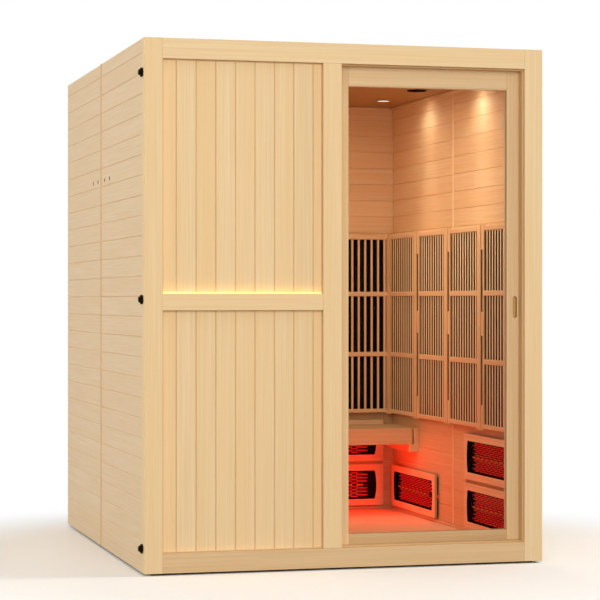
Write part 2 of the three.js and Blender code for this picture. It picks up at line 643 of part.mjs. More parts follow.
// The sloped bead round the pane on one face of the leaf: a block that widens towards that face
function beadCutter(face, outward) {
  const mouth = face + outward * CUT_PAST;
  const deep = face - outward * BEAD_FALL;
  const spread = (BEAD_FALL + CUT_PAST) / BEAD_FALL;
  const y = [Math.min(mouth, deep), Math.max(mouth, deep)];
  const block = box([PANE_LEFT, PANE_RIGHT], y, [PANE_BOTTOM, PANE_TOP]);
  const corners = block.attributes.position;
  const middle = [(PANE_LEFT + PANE_RIGHT) / 2, (PANE_BOTTOM + PANE_TOP) / 2];
  for (let i = 0; i < corners.count; i += 1) {
    const atMouth = Math.abs(corners.getY(i) - mouth) < Math.abs(corners.getY(i) - deep);
    if (!atMouth) continue;
    const right = corners.getX(i) > middle[0];
    const top = corners.getZ(i) > middle[1];
    corners.setX(i, right ? PANE_RIGHT + spread * BEAD_WIDTH : PANE_LEFT - spread * BEAD_WIDTH);
    corners.setZ(i, top ? PANE_TOP + spread * BEAD_WIDTH : PANE_BOTTOM - spread * BEAD_BOTTOM_WIDTH);
  }
  return block;
}

const BEADS = [beadCutter(DOOR_FRONT, -1), beadCutter(DOOR_BACK, 1)];

// The oval recess that a hand slides the door by
function pullRecess() {
  const x = centred(DOOR_RIGHT - PULL_FROM_EDGE, PULL_WIDTH);
  const z = centred(FLOOR_TOP + PULL_ABOVE_FLOOR, PULL_HEIGHT);
  const radius = PULL_WIDTH / 2;
  const outline = [
    ...arcPoints([z[1] - radius, x[0] + radius], radius, -Math.PI / 2, Math.PI / 2, 2 * ARC_STEPS),
    ...arcPoints([z[0] + radius, x[0] + radius], radius, Math.PI / 2, 3 * Math.PI / 2, 2 * ARC_STEPS),
  ];
  return extrude('y', outline, DOOR_FRONT - CUT_PAST, DOOR_FRONT + PULL_DEPTH);
}

function doorStile(x, grooveX, cuts) {
  const glassGroove = box(grooveX, GLASS_GROOVE_Y, past(DOOR_Z));
  return carve([box(x, DOOR_Y, DOOR_Z)], [glassGroove, GUIDE_SLOT, ...BEADS, ...cuts]);
}

function doorRail(z, grooveZ, cuts) {
  const span = [PANE_LEFT + FIT, PANE_RIGHT - FIT];
  const glassGroove = box(past(span), GLASS_GROOVE_Y, grooveZ);
  return carve([box(span, DOOR_Y, z)], [glassGroove, ...BEADS, ...cuts]);
}

place('door_left_stile', doorStile([DOOR_LEFT, PANE_LEFT],
  [PANE_LEFT - GLASS_GROOVE_DEPTH, PANE_LEFT + CUT_PAST], []), DOOR_WOOD);
place('door_right_stile', doorStile([PANE_RIGHT, DOOR_RIGHT],
  [PANE_RIGHT - CUT_PAST, PANE_RIGHT + GLASS_GROOVE_DEPTH], [pullRecess()]), DOOR_WOOD);
place('door_top_rail', doorRail([PANE_TOP, DOOR_TOP],
  [PANE_TOP - CUT_PAST, PANE_TOP + GLASS_GROOVE_DEPTH], []), DOOR_WOOD);
place('door_bottom_rail', doorRail([DOOR_BOTTOM, PANE_BOTTOM],
  [PANE_BOTTOM - GLASS_GROOVE_DEPTH, PANE_BOTTOM + CUT_PAST], [GUIDE_SLOT]), DOOR_WOOD);

const GLASS_REACH = GLASS_GROOVE_DEPTH - FIT;
place('door_glass', box([PANE_LEFT - GLASS_REACH, PANE_RIGHT + GLASS_REACH],
  centred(DOOR_MIDDLE, GLASS_THICKNESS), [PANE_BOTTOM - GLASS_REACH, PANE_TOP + GLASS_REACH]), PANE);

// Door gear

function doorTrack() {
  const top = TRACK_BOTTOM + TRACK_HEIGHT;
  const lid = LINING_FRONT - FIT;
  const outline = [
    [TRACK_WEB_FRONT, TRACK_BOTTOM],
    [LEDGE_BACK, TRACK_BOTTOM],
    [LEDGE_BACK, LEDGE_TOP],
    [TRACK_WEB_BACK, LEDGE_TOP],
    [TRACK_WEB_BACK, top - TRACK_WALL],
    [lid, top - TRACK_WALL],
    [lid, top],
    [TRACK_WEB_FRONT, top],
  ];
  return extrude('x', outline, -INNER_X + TRACK_END_GAP, INNER_X - TRACK_END_GAP);
}

function doorHanger(x) {
  const width = centred(x, HANGER_WIDTH);
  const foot = DOOR_TOP + FIT;
  const axle = [WHEEL_CENTRE_Z, x];
  const axleStart = WHEEL_FRONT - FIT;
  return carve([
    box(width, [HANGER_FRONT, HANGER_BACK], [foot, WHEEL_CENTRE_Z + AXLE_DIAMETER / 2 + HANGER_TOP_MARGIN]),
    box(width, centred(DOOR_MIDDLE, HANGER_FOOT_REACH), [foot, foot + HANGER_PLATE_THICKNESS]),
    roundBar('y', AXLE_DIAMETER, [axleStart - AXLE_HEAD_LENGTH / 2, HANGER_BACK], axle),
    roundBar('y', AXLE_HEAD_DIAMETER, [axleStart - AXLE_HEAD_LENGTH, axleStart], axle),
  ]);
}

function doorWheel(x) {
  const at = [WHEEL_CENTRE_Z, x];
  const y = [WHEEL_FRONT, WHEEL_BACK];
  const bore = roundBar('y', AXLE_DIAMETER + 2 * FIT, past(y), at);
  return carve([roundBar('y', WHEEL_DIAMETER, y, at)], [bore]);
}

function floorGuide() {
  const x = centred(DOORWAY_LEFT + GUIDE_FROM_MIDDLE_POST, GUIDE_LENGTH);
  const bottom = FLOOR_TOP + FIT;
  return carve([
    box(x, centred(DOOR_MIDDLE, GUIDE_PLATE_WIDTH), [bottom, bottom + GUIDE_PLATE_THICKNESS]),
    box(x, centred(DOOR_MIDDLE, GUIDE_FIN_THICKNESS), [bottom, DOOR_BOTTOM + GUIDE_FIN_ENGAGEMENT]),
  ]);
}

place('door_track', doorTrack(), ALUMINIUM);
['left', 'right'].forEach((name, i) => {
  place(`door_hanger_${name}`, doorHanger(HANGER_X[i]), STEEL);
  place(`door_wheel_${name}`, doorWheel(HANGER_X[i]), NYLON);
});
place('door_floor_guide', floorGuide(), BLACK_PLASTIC);

// Roof, its fittings, power unit and control panel

function roofPanel() {
  const z = [CEILING_HEIGHT, ROOF_TOP];
  const hole = (canDiameter, y) => roundBar('z', canDiameter + 2 * FIT, past(z), [FITTING_X, y]);
  return carve([box(INSIDE_X, [LINING_BACK + FIT, INNER_BACK - FIT], z)], [
    ...LAMP_Y.map((y) => hole(LAMP_CAN_DIAMETER, y)),
    hole(SPEAKER_CAN_DIAMETER, SPEAKER_BEHIND_MIDDLE),
  ]);
}

// A round ceiling fitting: a flange under the ceiling and a can up through it
function ceilingFitting(flangeDiameter, canDiameter, canHeight, y) {
  const profile = [
    [0, -FITTING_FLANGE_THICKNESS],
    [flangeDiameter / 2, -FITTING_FLANGE_THICKNESS],
    [flangeDiameter / 2, 0],
    [canDiameter / 2, 0],
    [canDiameter / 2, canHeight],
    [0, canHeight],
  ];
  return turned(profile, ROUND_SIDES).translate(FITTING_X, y, CEILING_HEIGHT - FIT);
}

function powerUnit() {
  const [length, width, height] = POWER_UNIT_SIZE;
  const [x, y] = POWER_UNIT_CENTRE;
  const bottom = ROOF_TOP + FIT;
  return carve([
    box(centred(x, length), centred(y, width), [bottom, bottom + height]),
    box(centred(x, length + 2 * POWER_UNIT_EAR), centred(y, width),
      [bottom, bottom + POWER_UNIT_EAR_THICKNESS]),
  ]);
}

function controlPanel() {
  const [width, depth, height] = CONTROL_SIZE;
  const x = centred(DOORWAY_LEFT - CONTROL_FROM_DOORWAY, width);
  const z = centred(FLOOR_TOP + CONTROL_ABOVE_FLOOR, height);
  const outline = roundedRectangle(z, x, CONTROL_CORNER);
  return extrude('y', outline, LINING_BACK + FIT, LINING_BACK + FIT + depth);
}

place('roof_panel', roofPanel(), INSIDE_WOOD);
['rear', 'front'].forEach((name, i) => {
  place(`downlight_${name}`, ceilingFitting(LAMP_FLANGE_DIAMETER, LAMP_CAN_DIAMETER, LAMP_CAN_HEIGHT,
    LAMP_Y[i]), LAMP_WHITE);
});
place('speaker', ceilingFitting(SPEAKER_FLANGE_DIAMETER, SPEAKER_CAN_DIAMETER, SPEAKER_CAN_HEIGHT,
  SPEAKER_BEHIND_MIDDLE), BLACK_PLASTIC);
place('power_unit', powerUnit(), GREY_METAL);
place('control_panel', controlPanel(), BLACK_PLASTIC);

// Bench

const BENCH_Y = [BENCH_FRONT + FASCIA_THICKNESS + FIT, BENCH_REAR];
const SLAB_BOTTOM = BENCH_TOP - BENCH_THICKNESS;

function benchSeat() {
  const span = [-FASCIA_HALF, FASCIA_HALF];
  const step = (2 * FASCIA_HALF - BATTEN_WIDTH) / (BATTEN_COUNT - 1);
  const battens = [];
  for (let i = 0; i < BATTEN_COUNT; i += 1) {
    const start = -FASCIA_HALF + i * step;
    battens.push(box([start, start + BATTEN_WIDTH], BENCH_Y, [FASCIA_BOTTOM + FIT, SLAB_BOTTOM + CUT_PAST]));
  }
  return carve([box(span, BENCH_Y, [SLAB_BOTTOM, BENCH_TOP]), ...battens]);
}

function benchSupport(wall) {
  const along = [BENCH_FRONT, BENCH_REAR];
  return carve([
    ON_WALL[wall](along, [FIT, FIT + CLEAT_WIDTH], [FASCIA_BOTTOM - LEDGER_HEIGHT, BENCH_TOP]),
    ON_WALL[wall](along, [FIT, FIT + LEDGER_WIDTH], [FASCIA_BOTTOM - LEDGER_HEIGHT, FASCIA_BOTTOM]),
  ]);
}

place('bench_seat', benchSeat(), INSIDE_WOOD);
place('bench_fascia', box([-FASCIA_HALF, FASCIA_HALF], [BENCH_FRONT, BENCH_FRONT + FASCIA_THICKNESS],
  [FASCIA_BOTTOM + FIT, BENCH_TOP]), INSIDE_WOOD);
place('bench_support_left', benchSupport('left'), INSIDE_WOOD);
place('bench_support_right', benchSupport('right'), INSIDE_WOOD);

// Slatted guards and carbon panels

const POST_SLOTS = POST_SLOTS_ABOVE_BOTTOM.map((slot) => slot.map((above) => GUARD_BOTTOM + above));
const SLAT_PITCH = SLAT_WIDTH + SLAT_GAP;
const fieldLength = (gaps) => gaps * SLAT_PITCH - SLAT_WIDTH;
const gapsThatFit = (length) => Math.floor((length + SLAT_WIDTH) / SLAT_PITCH);

// The gaps of one slatted field, counted from its lower end
function fieldGaps(start, gaps) {
  return Array.from({ length: gaps }, (_, i) => [start + i * SLAT_PITCH, start + i * SLAT_PITCH + SLAT_GAP]);
}

// One wall's guard: a slatted board, posts in front of it and a cap over the carbon panel
function slattedGuard(wall, along, gaps, posts, slots) {
  const on = ON_WALL[wall];
  const boardOff = [GUARD_RAIL_FROM_WALL - GUARD_THICKNESS, GUARD_RAIL_FROM_WALL];
  const postOff = [CARBON_FROM_WALL + FIT, GUARD_POST_FACE];
  const postZ = [GUARD_BOTTOM - POST_OVERHANG, GUARD_TOP + POST_OVERHANG];
  const holes = gaps.flatMap((gap) => GUARD_ROWS.map((row) => on(gap, past(boardOff), row)));
  const board = carve([on(along, boardOff, [GUARD_BOTTOM, GUARD_TOP])], holes);
  const slotCuts = slots.flatMap((slot) => POST_SLOTS.map((z) => on(slot, past(postOff), z)));
  return carve([
    board,
    ...posts.map((post) => on(post, postOff, postZ)),
    on(along, [WALL_STAND_OFF, GUARD_RAIL_FROM_WALL], [GUARD_TOP - GUARD_CAP_THICKNESS, GUARD_TOP]),
  ], slotCuts);
}

// Fields of slats and slotted posts from the back corner forwards, and a shorter field in front
function sideGuard(wall) {
  const ends = [LINING_BACK + FIT, INNER_BACK - FIT];
  const step = fieldLength(SIDE_FIELD_GAPS) + POST_WIDTH;
  const firstEnd = INNER_BACK - SIDE_FIRST_FIELD_FROM_BACK;
  const gaps = [];
  const posts = [[firstEnd, ends[1]]];
  const slots = [];
  let end = firstEnd;
  while (end - step > ends[0] + SLAT_GAP + SIDE_END_POST_LEAST) {
    const postStart = end - step;
    const slot = postStart + POST_SLOT_FROM_FRONT;
    gaps.push(...fieldGaps(postStart + POST_WIDTH, SIDE_FIELD_GAPS));
    posts.push([postStart, postStart + POST_WIDTH]);
    slots.push([slot, slot + POST_SLOT_WIDTH]);
    end = postStart;
  }
  const frontGaps = gapsThatFit(end - ends[0] - SIDE_END_POST_LEAST);
  const frontStart = end - fieldLength(frontGaps);
  gaps.push(...fieldGaps(frontStart, frontGaps));
  posts.push([ends[0], frontStart]);
  return slattedGuard(wall, ends, gaps, posts, slots);
}

const BACK_GUARD_HALF = INNER_X - GUARD_POST_FACE - FIT;

// A field at each end, open at the corner, a wide field in the middle and a post between them
function backGuard() {
  const sideEnd = BACK_GUARD_HALF - BACK_END_NOTCH - SLAT_WIDTH;
  const sideStart = sideEnd - fieldLength(BACK_SIDE_FIELD_GAPS);
  const middleGaps = gapsThatFit(2 * (sideStart - POST_WIDTH));
  const middle = fieldLength(middleGaps) / 2;
  const notch = [BACK_GUARD_HALF - BACK_END_NOTCH, BACK_GUARD_HALF + CUT_PAST];
  const rightGaps = [...fieldGaps(sideStart, BACK_SIDE_FIELD_GAPS), notch];
  const slot = centred((middle + sideStart) / 2, POST_SLOT_WIDTH);
  const gaps = fieldGaps(-middle, middleGaps);
  const posts = [];
  const slots = [];
  for (const side of [-1, 1]) {
    gaps.push(...rightGaps.map((gap) => sided(side, gap)));
    posts.push(sided(side, [middle, sideStart]));
    slots.push(sided(side, slot));
  }
  return slattedGuard('back', [-BACK_GUARD_HALF, BACK_GUARD_HALF], gaps, posts, slots);
}

function carbonPanel(wall, along) {
  return ON_WALL[wall](along, [WALL_STAND_OFF, CARBON_FROM_WALL],
    [GUARD_BOTTOM + CARBON_EDGE, GUARD_TOP - GUARD_CAP_THICKNESS - FIT]);
}

place('back_guard', backGuard(), INSIDE_WOOD);
place('back_carbon_panel', carbonPanel('back', [-BACK_GUARD_HALF, BACK_GUARD_HALF]), CARBON);
for (const wall of ['left', 'right']) {
  place(`${wall}_guard`, sideGuard(wall), INSIDE_WOOD);
  place(`${wall}_carbon_panel`, carbonPanel(wall, [LINING_BACK + FIT, INNER_BACK - FIT]), CARBON);
}

// Red heaters

const HEATER_BOARD_OFF = [HEATER_BACK_FROM_WALL, HEATER_FACE_FROM_WALL];
const TRAY_OFF = [FIT, FIT + HEATER_TRAY_THICKNESS];
const TRAY_POCKET_OFF = [FIT + HEATER_TRAY_FLOOR, TRAY_OFF[1] + CUT_PAST];

// The opening in a heater's frame: straight long edges and short ends that bulge outwards
function heaterOpening(wall, middle, height, length) {
  const half = HEATER_OPENING_HEIGHT / 2;
  const radius = (half * half + HEATER_OPENING_BULGE ** 2) / (2 * HEATER_OPENING_BULGE);
  const sweep = Math.asin(half / radius);
  const centre = length / 2 + HEATER_OPENING_BULGE - radius;
  const outline = [
    ...arcPoints([middle + centre, height], radius, -sweep, sweep, ARC_STEPS),
    ...arcPoints([middle - centre, height], radius, Math.PI - sweep, Math.PI + sweep, ARC_STEPS),
  ];
  const off = past(HEATER_BOARD_OFF);
  if (wall === 'back') {
    return extrude('y', outline.map(([u, v]) => [v, u]), INNER_BACK - off[1], INNER_BACK - off[0]);
  }
  return extrude('x', outline, INNER_X - off[1], INNER_X - off[0]);
}

// An emitter's folded mesh: a trough above and below a middle ridge
function emitter(wall, middle, height, openingLength) {
  const half = HEATER_OPENING_HEIGHT / 2 - EMITTER_EDGE_MARGIN;
  const foot = FIT + HEATER_TRAY_FLOOR / 2;
  const edge = HEATER_FACE_FROM_WALL - EMITTER_EDGE_RECESS;
  const trough = HEATER_FACE_FROM_WALL - EMITTER_TROUGH_RECESS;
  const ridge = HEATER_FACE_FROM_WALL - EMITTER_RIDGE_RECESS;
  const profile = [
    [foot, height - half],
    [edge, height - half],
    [trough, height - EMITTER_RIDGE_WIDTH / 2],
    [ridge, height],
    [trough, height + EMITTER_RIDGE_WIDTH / 2],
    [edge, height + half],
    [foot, height + half],
  ];
  const [from, to] = centred(middle, openingLength - 2 * EMITTER_END_MARGIN);
  if (wall === 'back') return extrude('x', profile.map(([off, z]) => [INNER_BACK - off, z]), from, to);
  return extrude('y', profile.map(([off, z]) => [z, INNER_X - off]), from, to);
}

// A group of heaters side by side and in rows: one frame board, and one tray with their emitters
function redHeaters(name, wall, middles, length, rows) {
  const on = ON_WALL[wall];
  const openingLength = length - 2 * HEATER_STILE;
  const along = [middles[0] - length / 2, middles.at(-1) + length / 2];
  const z = [HEATER_BOTTOM, HEATER_BOTTOM + rows * HEATER_ROW_STEP - HEATER_ROW_GAP];
  const bottoms = Array.from({ length: rows }, (_, i) => HEATER_BOTTOM + i * HEATER_ROW_STEP);
  const centres = middles.flatMap((middle) => bottoms.map((bottom) => [middle, bottom + HEATER_HEIGHT / 2]));
  const grooveOff = [HEATER_FACE_FROM_WALL - HEATER_ROW_GAP_DEPTH, HEATER_FACE_FROM_WALL + CUT_PAST];
  const rowGaps = bottoms.slice(1).map((bottom) => (
    on(past(along), grooveOff, [bottom - HEATER_ROW_GAP, bottom])));
  const columnGaps = middles.slice(1).map((middle, i) => (
    on([middles[i] + length / 2, middle - length / 2], grooveOff, past(z))));
  const openings = centres.map(([middle, height]) => heaterOpening(wall, middle, height, openingLength));
  const emitters = centres.map(([middle, height]) => emitter(wall, middle, height, openingLength));
  const pockets = centres.map(([middle, height]) => on(
    centred(middle, openingLength + 2 * HEATER_OPENING_BULGE),
    TRAY_POCKET_OFF,
    centred(height, HEATER_OPENING_HEIGHT),
  ));
  const inset = ([from, to]) => [from + HEATER_TRAY_INSET, to - HEATER_TRAY_INSET];
  const board = on(along, HEATER_BOARD_OFF, z);
  const tray = carve([on(inset(along), TRAY_OFF, inset(z))], pockets);
  place(`${name}_heater_frame`, carve([board], [...openings, ...rowGaps, ...columnGaps]), INSIDE_WOOD);
  place(`${name}_heater_emitter`, carve([tray, ...emitters]), EMITTER_RED);
}

// The back wall's heaters share the room between the corners
const BACK_HEATER_ROOM = 2 * (INNER_X - BACK_HEATER_FROM_CORNER);
const BACK_HEATER_STEP = (BACK_HEATER_ROOM + BACK_HEATER_COLUMN_GAP) / BACK_HEATER_COLUMNS;
const BACK_HEATER_MIDDLES = Array.from({ length: BACK_HEATER_COLUMNS }, (_, i) => (
  (i - (BACK_HEATER_COLUMNS - 1) / 2) * BACK_HEATER_STEP));

const CORNER_HEATER_MIDDLE = INNER_BACK - CORNER_HEATER_FROM_BACK - HEATER_LENGTH / 2;
const FRONT_HEATER_MIDDLE = LINING_BACK + FRONT_HEATER_FROM_LINING + HEATER_LENGTH / 2;
redHeaters('back', 'back', BACK_HEATER_MIDDLES, BACK_HEATER_STEP - BACK_HEATER_COLUMN_GAP, HEATER_ROWS);
redHeaters('right_corner', 'right', [CORNER_HEATER_MIDDLE], HEATER_LENGTH, 1);
redHeaters('right_front', 'right', [FRONT_HEATER_MIDDLE], HEATER_LENGTH, HEATER_ROWS);

export default CABIN;
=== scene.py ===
"""The looks of an infrared sauna cabin: planed spruce and hemlock boards, a glass sliding door,
slatted guards over carbon heaters, red mesh heaters and warm lamps. Metres, +Z up, as the frame."""

import json
import math
import random

import bmesh
import bpy
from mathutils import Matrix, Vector


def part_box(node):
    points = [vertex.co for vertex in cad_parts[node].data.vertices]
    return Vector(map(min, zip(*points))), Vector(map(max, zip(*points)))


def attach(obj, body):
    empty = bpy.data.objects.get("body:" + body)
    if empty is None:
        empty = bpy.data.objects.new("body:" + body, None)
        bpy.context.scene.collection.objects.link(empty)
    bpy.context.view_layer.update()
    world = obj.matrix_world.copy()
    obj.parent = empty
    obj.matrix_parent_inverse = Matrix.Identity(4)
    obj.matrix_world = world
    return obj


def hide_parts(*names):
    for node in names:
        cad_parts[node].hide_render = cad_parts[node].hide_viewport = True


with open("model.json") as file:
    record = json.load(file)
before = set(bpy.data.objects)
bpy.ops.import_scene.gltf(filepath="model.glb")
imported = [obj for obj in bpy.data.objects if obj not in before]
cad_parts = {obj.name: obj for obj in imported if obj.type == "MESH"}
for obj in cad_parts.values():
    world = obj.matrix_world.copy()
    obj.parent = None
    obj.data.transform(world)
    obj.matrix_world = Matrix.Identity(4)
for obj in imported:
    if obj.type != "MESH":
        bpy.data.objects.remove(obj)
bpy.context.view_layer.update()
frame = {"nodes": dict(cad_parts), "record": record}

MM = 0.001
AXES = "XYZ"
BODY_OF = {node: body for body, nodes in frame["record"]["behaviour"]["bodies"].items() for node in nodes}


# Materials

def linear(code):
    """A colour written as sRGB hex, in the linear numbers that shaders take."""
    channels = [int(code[i:i + 2], 16) / 255 for i in (1, 3, 5)]
    return [c / 12.92 if c <= 0.04045 else ((c + 0.055) / 1.055) ** 2.4 for c in channels] + [1.0]


def add(tree, kind, inputs=None, **settings):
    """Adds one node: its settings, then its inputs as plain values or as links from other sockets."""
    made = tree.nodes.new(kind)
    for name, value in settings.items():
        setattr(made, name, value)
    for name, value in (inputs or {}).items():
        if isinstance(value, bpy.types.NodeSocket):
            tree.links.new(value, made.inputs[name])
        else:
            made.inputs[name].default_value = value
    return made


def start(name, **sockets):
    """A new material, its node tree and its Principled shader with constant values on its sockets."""
    material = bpy.data.materials.new(name)
    material.use_nodes = True
    tree = material.node_tree
    shader = tree.nodes["Principled BSDF"]
    for socket, value in sockets.items():
        shader.inputs[socket.replace("_", " ")].default_value = value
    return material, tree, shader


def grain_scale(grain, along_mm, across_mm):
    """Mapping scale that makes one noise feature so long along the grain and so wide across it."""
    return [1 / (along_mm * MM) if axis == grain else 1 / (across_mm * MM) for axis in AXES]


# Length and width of one growth-ring streak, one slow drift of tone and one pore
STREAK_MM = (420, 5)
FIGURE_MM = (1400, 38)
PORE_MM = (26, 1.6)
# Which part of each noise is drawn, from nothing to full
STREAK_RANGE = {"From Min": 0.36, "From Max": 0.68}
DRIFT_RANGE = {"From Min": 0.35, "From Max": 0.7}
PORE_RANGE = {"From Min": 0.62, "From Max": 0.78, "To Max": 0.16}
SHEEN_RANGE = {"From Min": 0.3, "From Max": 0.7}
DRIFT_SHARE = 0.45
BOARD_SWING = 0.35
SHEEN_SWING = 0.07
RING_RELIEF = {"Strength": 0.25, "Distance": 0.3 * MM}
# How far the grain jumps from one board to the next, in metres
BOARD_JUMP = (3.7, 5.3, 4.1)


def planed_wood(name, pale, deep, warm, grain, roughness):
    """Planed softwood: long fine growth-ring streaks, slow drifts of tone, and each board its own shade.
    Pores are far finer than a pixel, so they are drawn wide enough to show as faint dashes."""
    material, tree, shader = start(name, Roughness=roughness, IOR=1.5)
    place = add(tree, "ShaderNodeTexCoord").outputs["Object"]
    board = add(tree, "ShaderNodeAttribute", attribute_name="board_tone").outputs["Fac"]
    jump = add(tree, "ShaderNodeVectorMath", {0: BOARD_JUMP, "Scale": board}, operation="SCALE")
    shifted = add(tree, "ShaderNodeVectorMath", {0: place, 1: jump.outputs[0]}, operation="ADD").outputs[0]
    layers = {}
    for layer, size, detail in (("streak", STREAK_MM, 4), ("figure", FIGURE_MM, 2), ("pore", PORE_MM, 1)):
        mapped = add(tree, "ShaderNodeMapping", {"Vector": shifted, "Scale": grain_scale(grain, *size)})
        noise = add(tree, "ShaderNodeTexNoise",
                    {"Vector": mapped.outputs[0], "Scale": 1.0, "Detail": detail, "Roughness": 0.6})
        layers[layer] = noise.outputs["Fac"]
    streaks = add(tree, "ShaderNodeMapRange", {"Value": layers["streak"], **STREAK_RANGE})
    drift = add(tree, "ShaderNodeMapRange", {"Value": layers["figure"], **DRIFT_RANGE})
    rings = add(tree, "ShaderNodeMix", {0: streaks.outputs[0], 6: linear(pale), 7: linear(deep)},
                data_type="RGBA")
    part = add(tree, "ShaderNodeMath", {0: drift.outputs[0], 1: DRIFT_SHARE}, operation="MULTIPLY")
    drifted = add(tree, "ShaderNodeMix", {0: part.outputs[0], 6: rings.outputs[2], 7: linear(warm)},
                  data_type="RGBA")
    swing = add(tree, "ShaderNodeMath", {0: board, 1: BOARD_SWING}, operation="MULTIPLY")
    boards = add(tree, "ShaderNodeMix", {0: swing.outputs[0], 6: drifted.outputs[2], 7: linear(warm)},
                 data_type="RGBA")
    pores = add(tree, "ShaderNodeMapRange", {"Value": layers["pore"], **PORE_RANGE})
    porous = add(tree, "ShaderNodeMix", {0: pores.outputs[0], 6: boards.outputs[2], 7: linear(deep)},
                 data_type="RGBA", blend_type="MULTIPLY")
    tree.links.new(porous.outputs[2], shader.inputs["Base Color"])
    sheen = add(tree, "ShaderNodeMapRange",
                {"Value": layers["streak"], **SHEEN_RANGE,
                 "To Min": roughness - SHEEN_SWING, "To Max": roughness + SHEEN_SWING})
    tree.links.new(sheen.outputs[0], shader.inputs["Roughness"])
    relief = add(tree, "ShaderNodeBump", {"Height": layers["streak"], **RING_RELIEF})
    tree.links.new(relief.outputs[0], shader.inputs["Normal"])
    return material


def wood_set(name, pale, deep, warm, roughness):
    """One finish with its grain along each axis."""
    return {axis: planed_wood(f"{name}_{axis.lower()}", pale, deep, warm, axis, roughness) for axis in AXES}


GRIT_GLOSS_SWING = 0.08
GRIT_RELIEF = 0.4
LINE_GLOSS_SWING = 0.1
LINE_LENGTH_MM = 200
DIFFUSER_ROUGHNESS = 0.4


def speckled(name, base, other, grit_mm, roughness, bump_mm, **sockets):
    """A moulded or coated surface: a fine even grit in its tone, its gloss and its relief."""
    material, tree, shader = start(name, **sockets)
    place = add(tree, "ShaderNodeTexCoord").outputs["Object"]
    grit = add(tree, "ShaderNodeTexNoise", {"Vector": place, "Scale": 1 / (grit_mm * MM), "Detail": 2.0})
    tone = add(tree, "ShaderNodeMix", {0: grit.outputs["Fac"], 6: linear(base), 7: linear(other)},
               data_type="RGBA")
    gloss = add(tree, "ShaderNodeMapRange",
                {"Value": grit.outputs["Fac"], "To Min": roughness - GRIT_GLOSS_SWING,
                 "To Max": roughness + GRIT_GLOSS_SWING})
    relief = add(tree, "ShaderNodeBump",
                 {"Height": grit.outputs["Fac"], "Strength": GRIT_RELIEF, "Distance": bump_mm * MM})
    tree.links.new(tone.outputs[2], shader.inputs["Base Color"])
    tree.links.new(gloss.outputs[0], shader.inputs["Roughness"])
    tree.links.new(relief.outputs[0], shader.inputs["Normal"])
    return material


def brushed(name, base, other, line_mm, line_axis, roughness):
    """Drawn or extruded metal: fine lines along one axis that vary its gloss."""
    material, tree, shader = start(name, Metallic=1.0)
    place = add(tree, "ShaderNodeTexCoord").outputs["Object"]
    mapped = add(tree, "ShaderNodeMapping",
                 {"Vector": place, "Scale": grain_scale(line_axis, LINE_LENGTH_MM, line_mm)})
    lines = add(tree, "ShaderNodeTexNoise", {"Vector": mapped.outputs[0], "Scale": 1.0, "Detail": 3.0})
    tone = add(tree, "ShaderNodeMix", {0: lines.outputs["Fac"], 6: linear(base), 7: linear(other)},
               data_type="RGBA")
    gloss = add(tree, "ShaderNodeMapRange",
                {"Value": lines.outputs["Fac"], "To Min": roughness - LINE_GLOSS_SWING,
                 "To Max": roughness + LINE_GLOSS_SWING})
    tree.links.new(tone.outputs[2], shader.inputs["Base Color"])
    tree.links.new(gloss.outputs[0], shader.inputs["Roughness"])
    return material


def glowing(name, base, light, strength, grit_mm):
    """A lit diffuser: its own light with a faint mottle, so that it is not one flat colour."""
    material, tree, shader = start(name, Roughness=DIFFUSER_ROUGHNESS, Emission_Strength=strength)
    place = add(tree, "ShaderNodeTexCoord").outputs["Object"]
    mottle = add(tree, "ShaderNodeTexNoise", {"Vector": place, "Scale": 1 / (grit_mm * MM), "Detail": 2.0})
    tone = add(tree, "ShaderNodeMix", {0: mottle.outputs["Fac"], 6: linear(light), 7: linear(base)},
               data_type="RGBA")
    tree.links.new(tone.outputs[2], shader.inputs["Base Color"])
    tree.links.new(tone.outputs[2], shader.inputs["Emission Color"])
    return material


# Clear-lacquered spruce on the front: pale cream with fine tan streaks
FRONT = wood_set("lacquered_spruce", "#edd3a7", "#e4c497", "#e8c38c", 0.52)
# Bare planed spruce on the outer walls: the same boards, a little greyer and drier
WALL = wood_set("planed_spruce", "#e8cfaa", "#e0c49c", "#e2c398", 0.6)
# Cover strips over the wall seams: darker, redder heartwood
STRIP = wood_set("heartwood_strip", "#d2a66a", "#bd8c4f", "#c08a4c", 0.55)
# Lining boards of the ceiling: drawn deeper as painted shade, since the ceiling is lit only by light thrown
# back from below
LINING = wood_set("ceiling_lining_painted_shade", "#bc9156", "#a87a40", "#ab783c", 0.58)
# Oiled hemlock of the doorway's trim and the bench: a browner, softly shining surface, drawn darker still
# as painted shade of the doorway's opening, of the bench and of the left panel beads
SHADED_TRIM = wood_set("oiled_hemlock_painted_shade", "#d9b485", "#c89f6c", "#c99c66", 0.5)
# The door's rails: the top one drawn paler as painted light, the bottom one browner as painted shade near
# the floor
RAIL_TOP_LIT = planed_wood("door_top_rail_painted_light", "#e8cb9f", "#ddba8b", "#deb886", "X", 0.5)
RAIL_FOOT_SHADED = planed_wood("door_foot_rail_painted_shade", "#caa87c", "#bb9464", "#bc925f", "X", 0.5)
# Lacquered hemlock of the door: a shade deeper than the front
DOOR = wood_set("lacquered_hemlock", "#e0c195", "#d5b081", "#d6ae7c", 0.5)
# Bare planed hemlock inside: warm honey with a dry, even surface
INSIDE = wood_set("planed_hemlock", "#e3c091", "#d7ac79", "#daaa75", 0.58)
# The floor and the heaters' frames: the same hemlock from paler sapwood
SAPWOOD = wood_set("hemlock_sapwood", "#edcba0", "#e2b989", "#e5b785", 0.58)
# Toughened glass with an anti-glare coat: clear. Its index is set far below glass's own 1.5, so that the
# white studio barely shows in it
GLASS, *_ = start("toughened_clear_glass", Base_Color=linear("#fbfefc"), Roughness=0.0, IOR=1.06,
                  Transmission_Weight=1.0)
# Moulded ABS: near black with a fine leathery grit
PLASTIC = speckled("moulded_black_abs", "#0d0b03", "#161205", 1.2, 0.55, 0.05, Specular_IOR_Level=0.04)
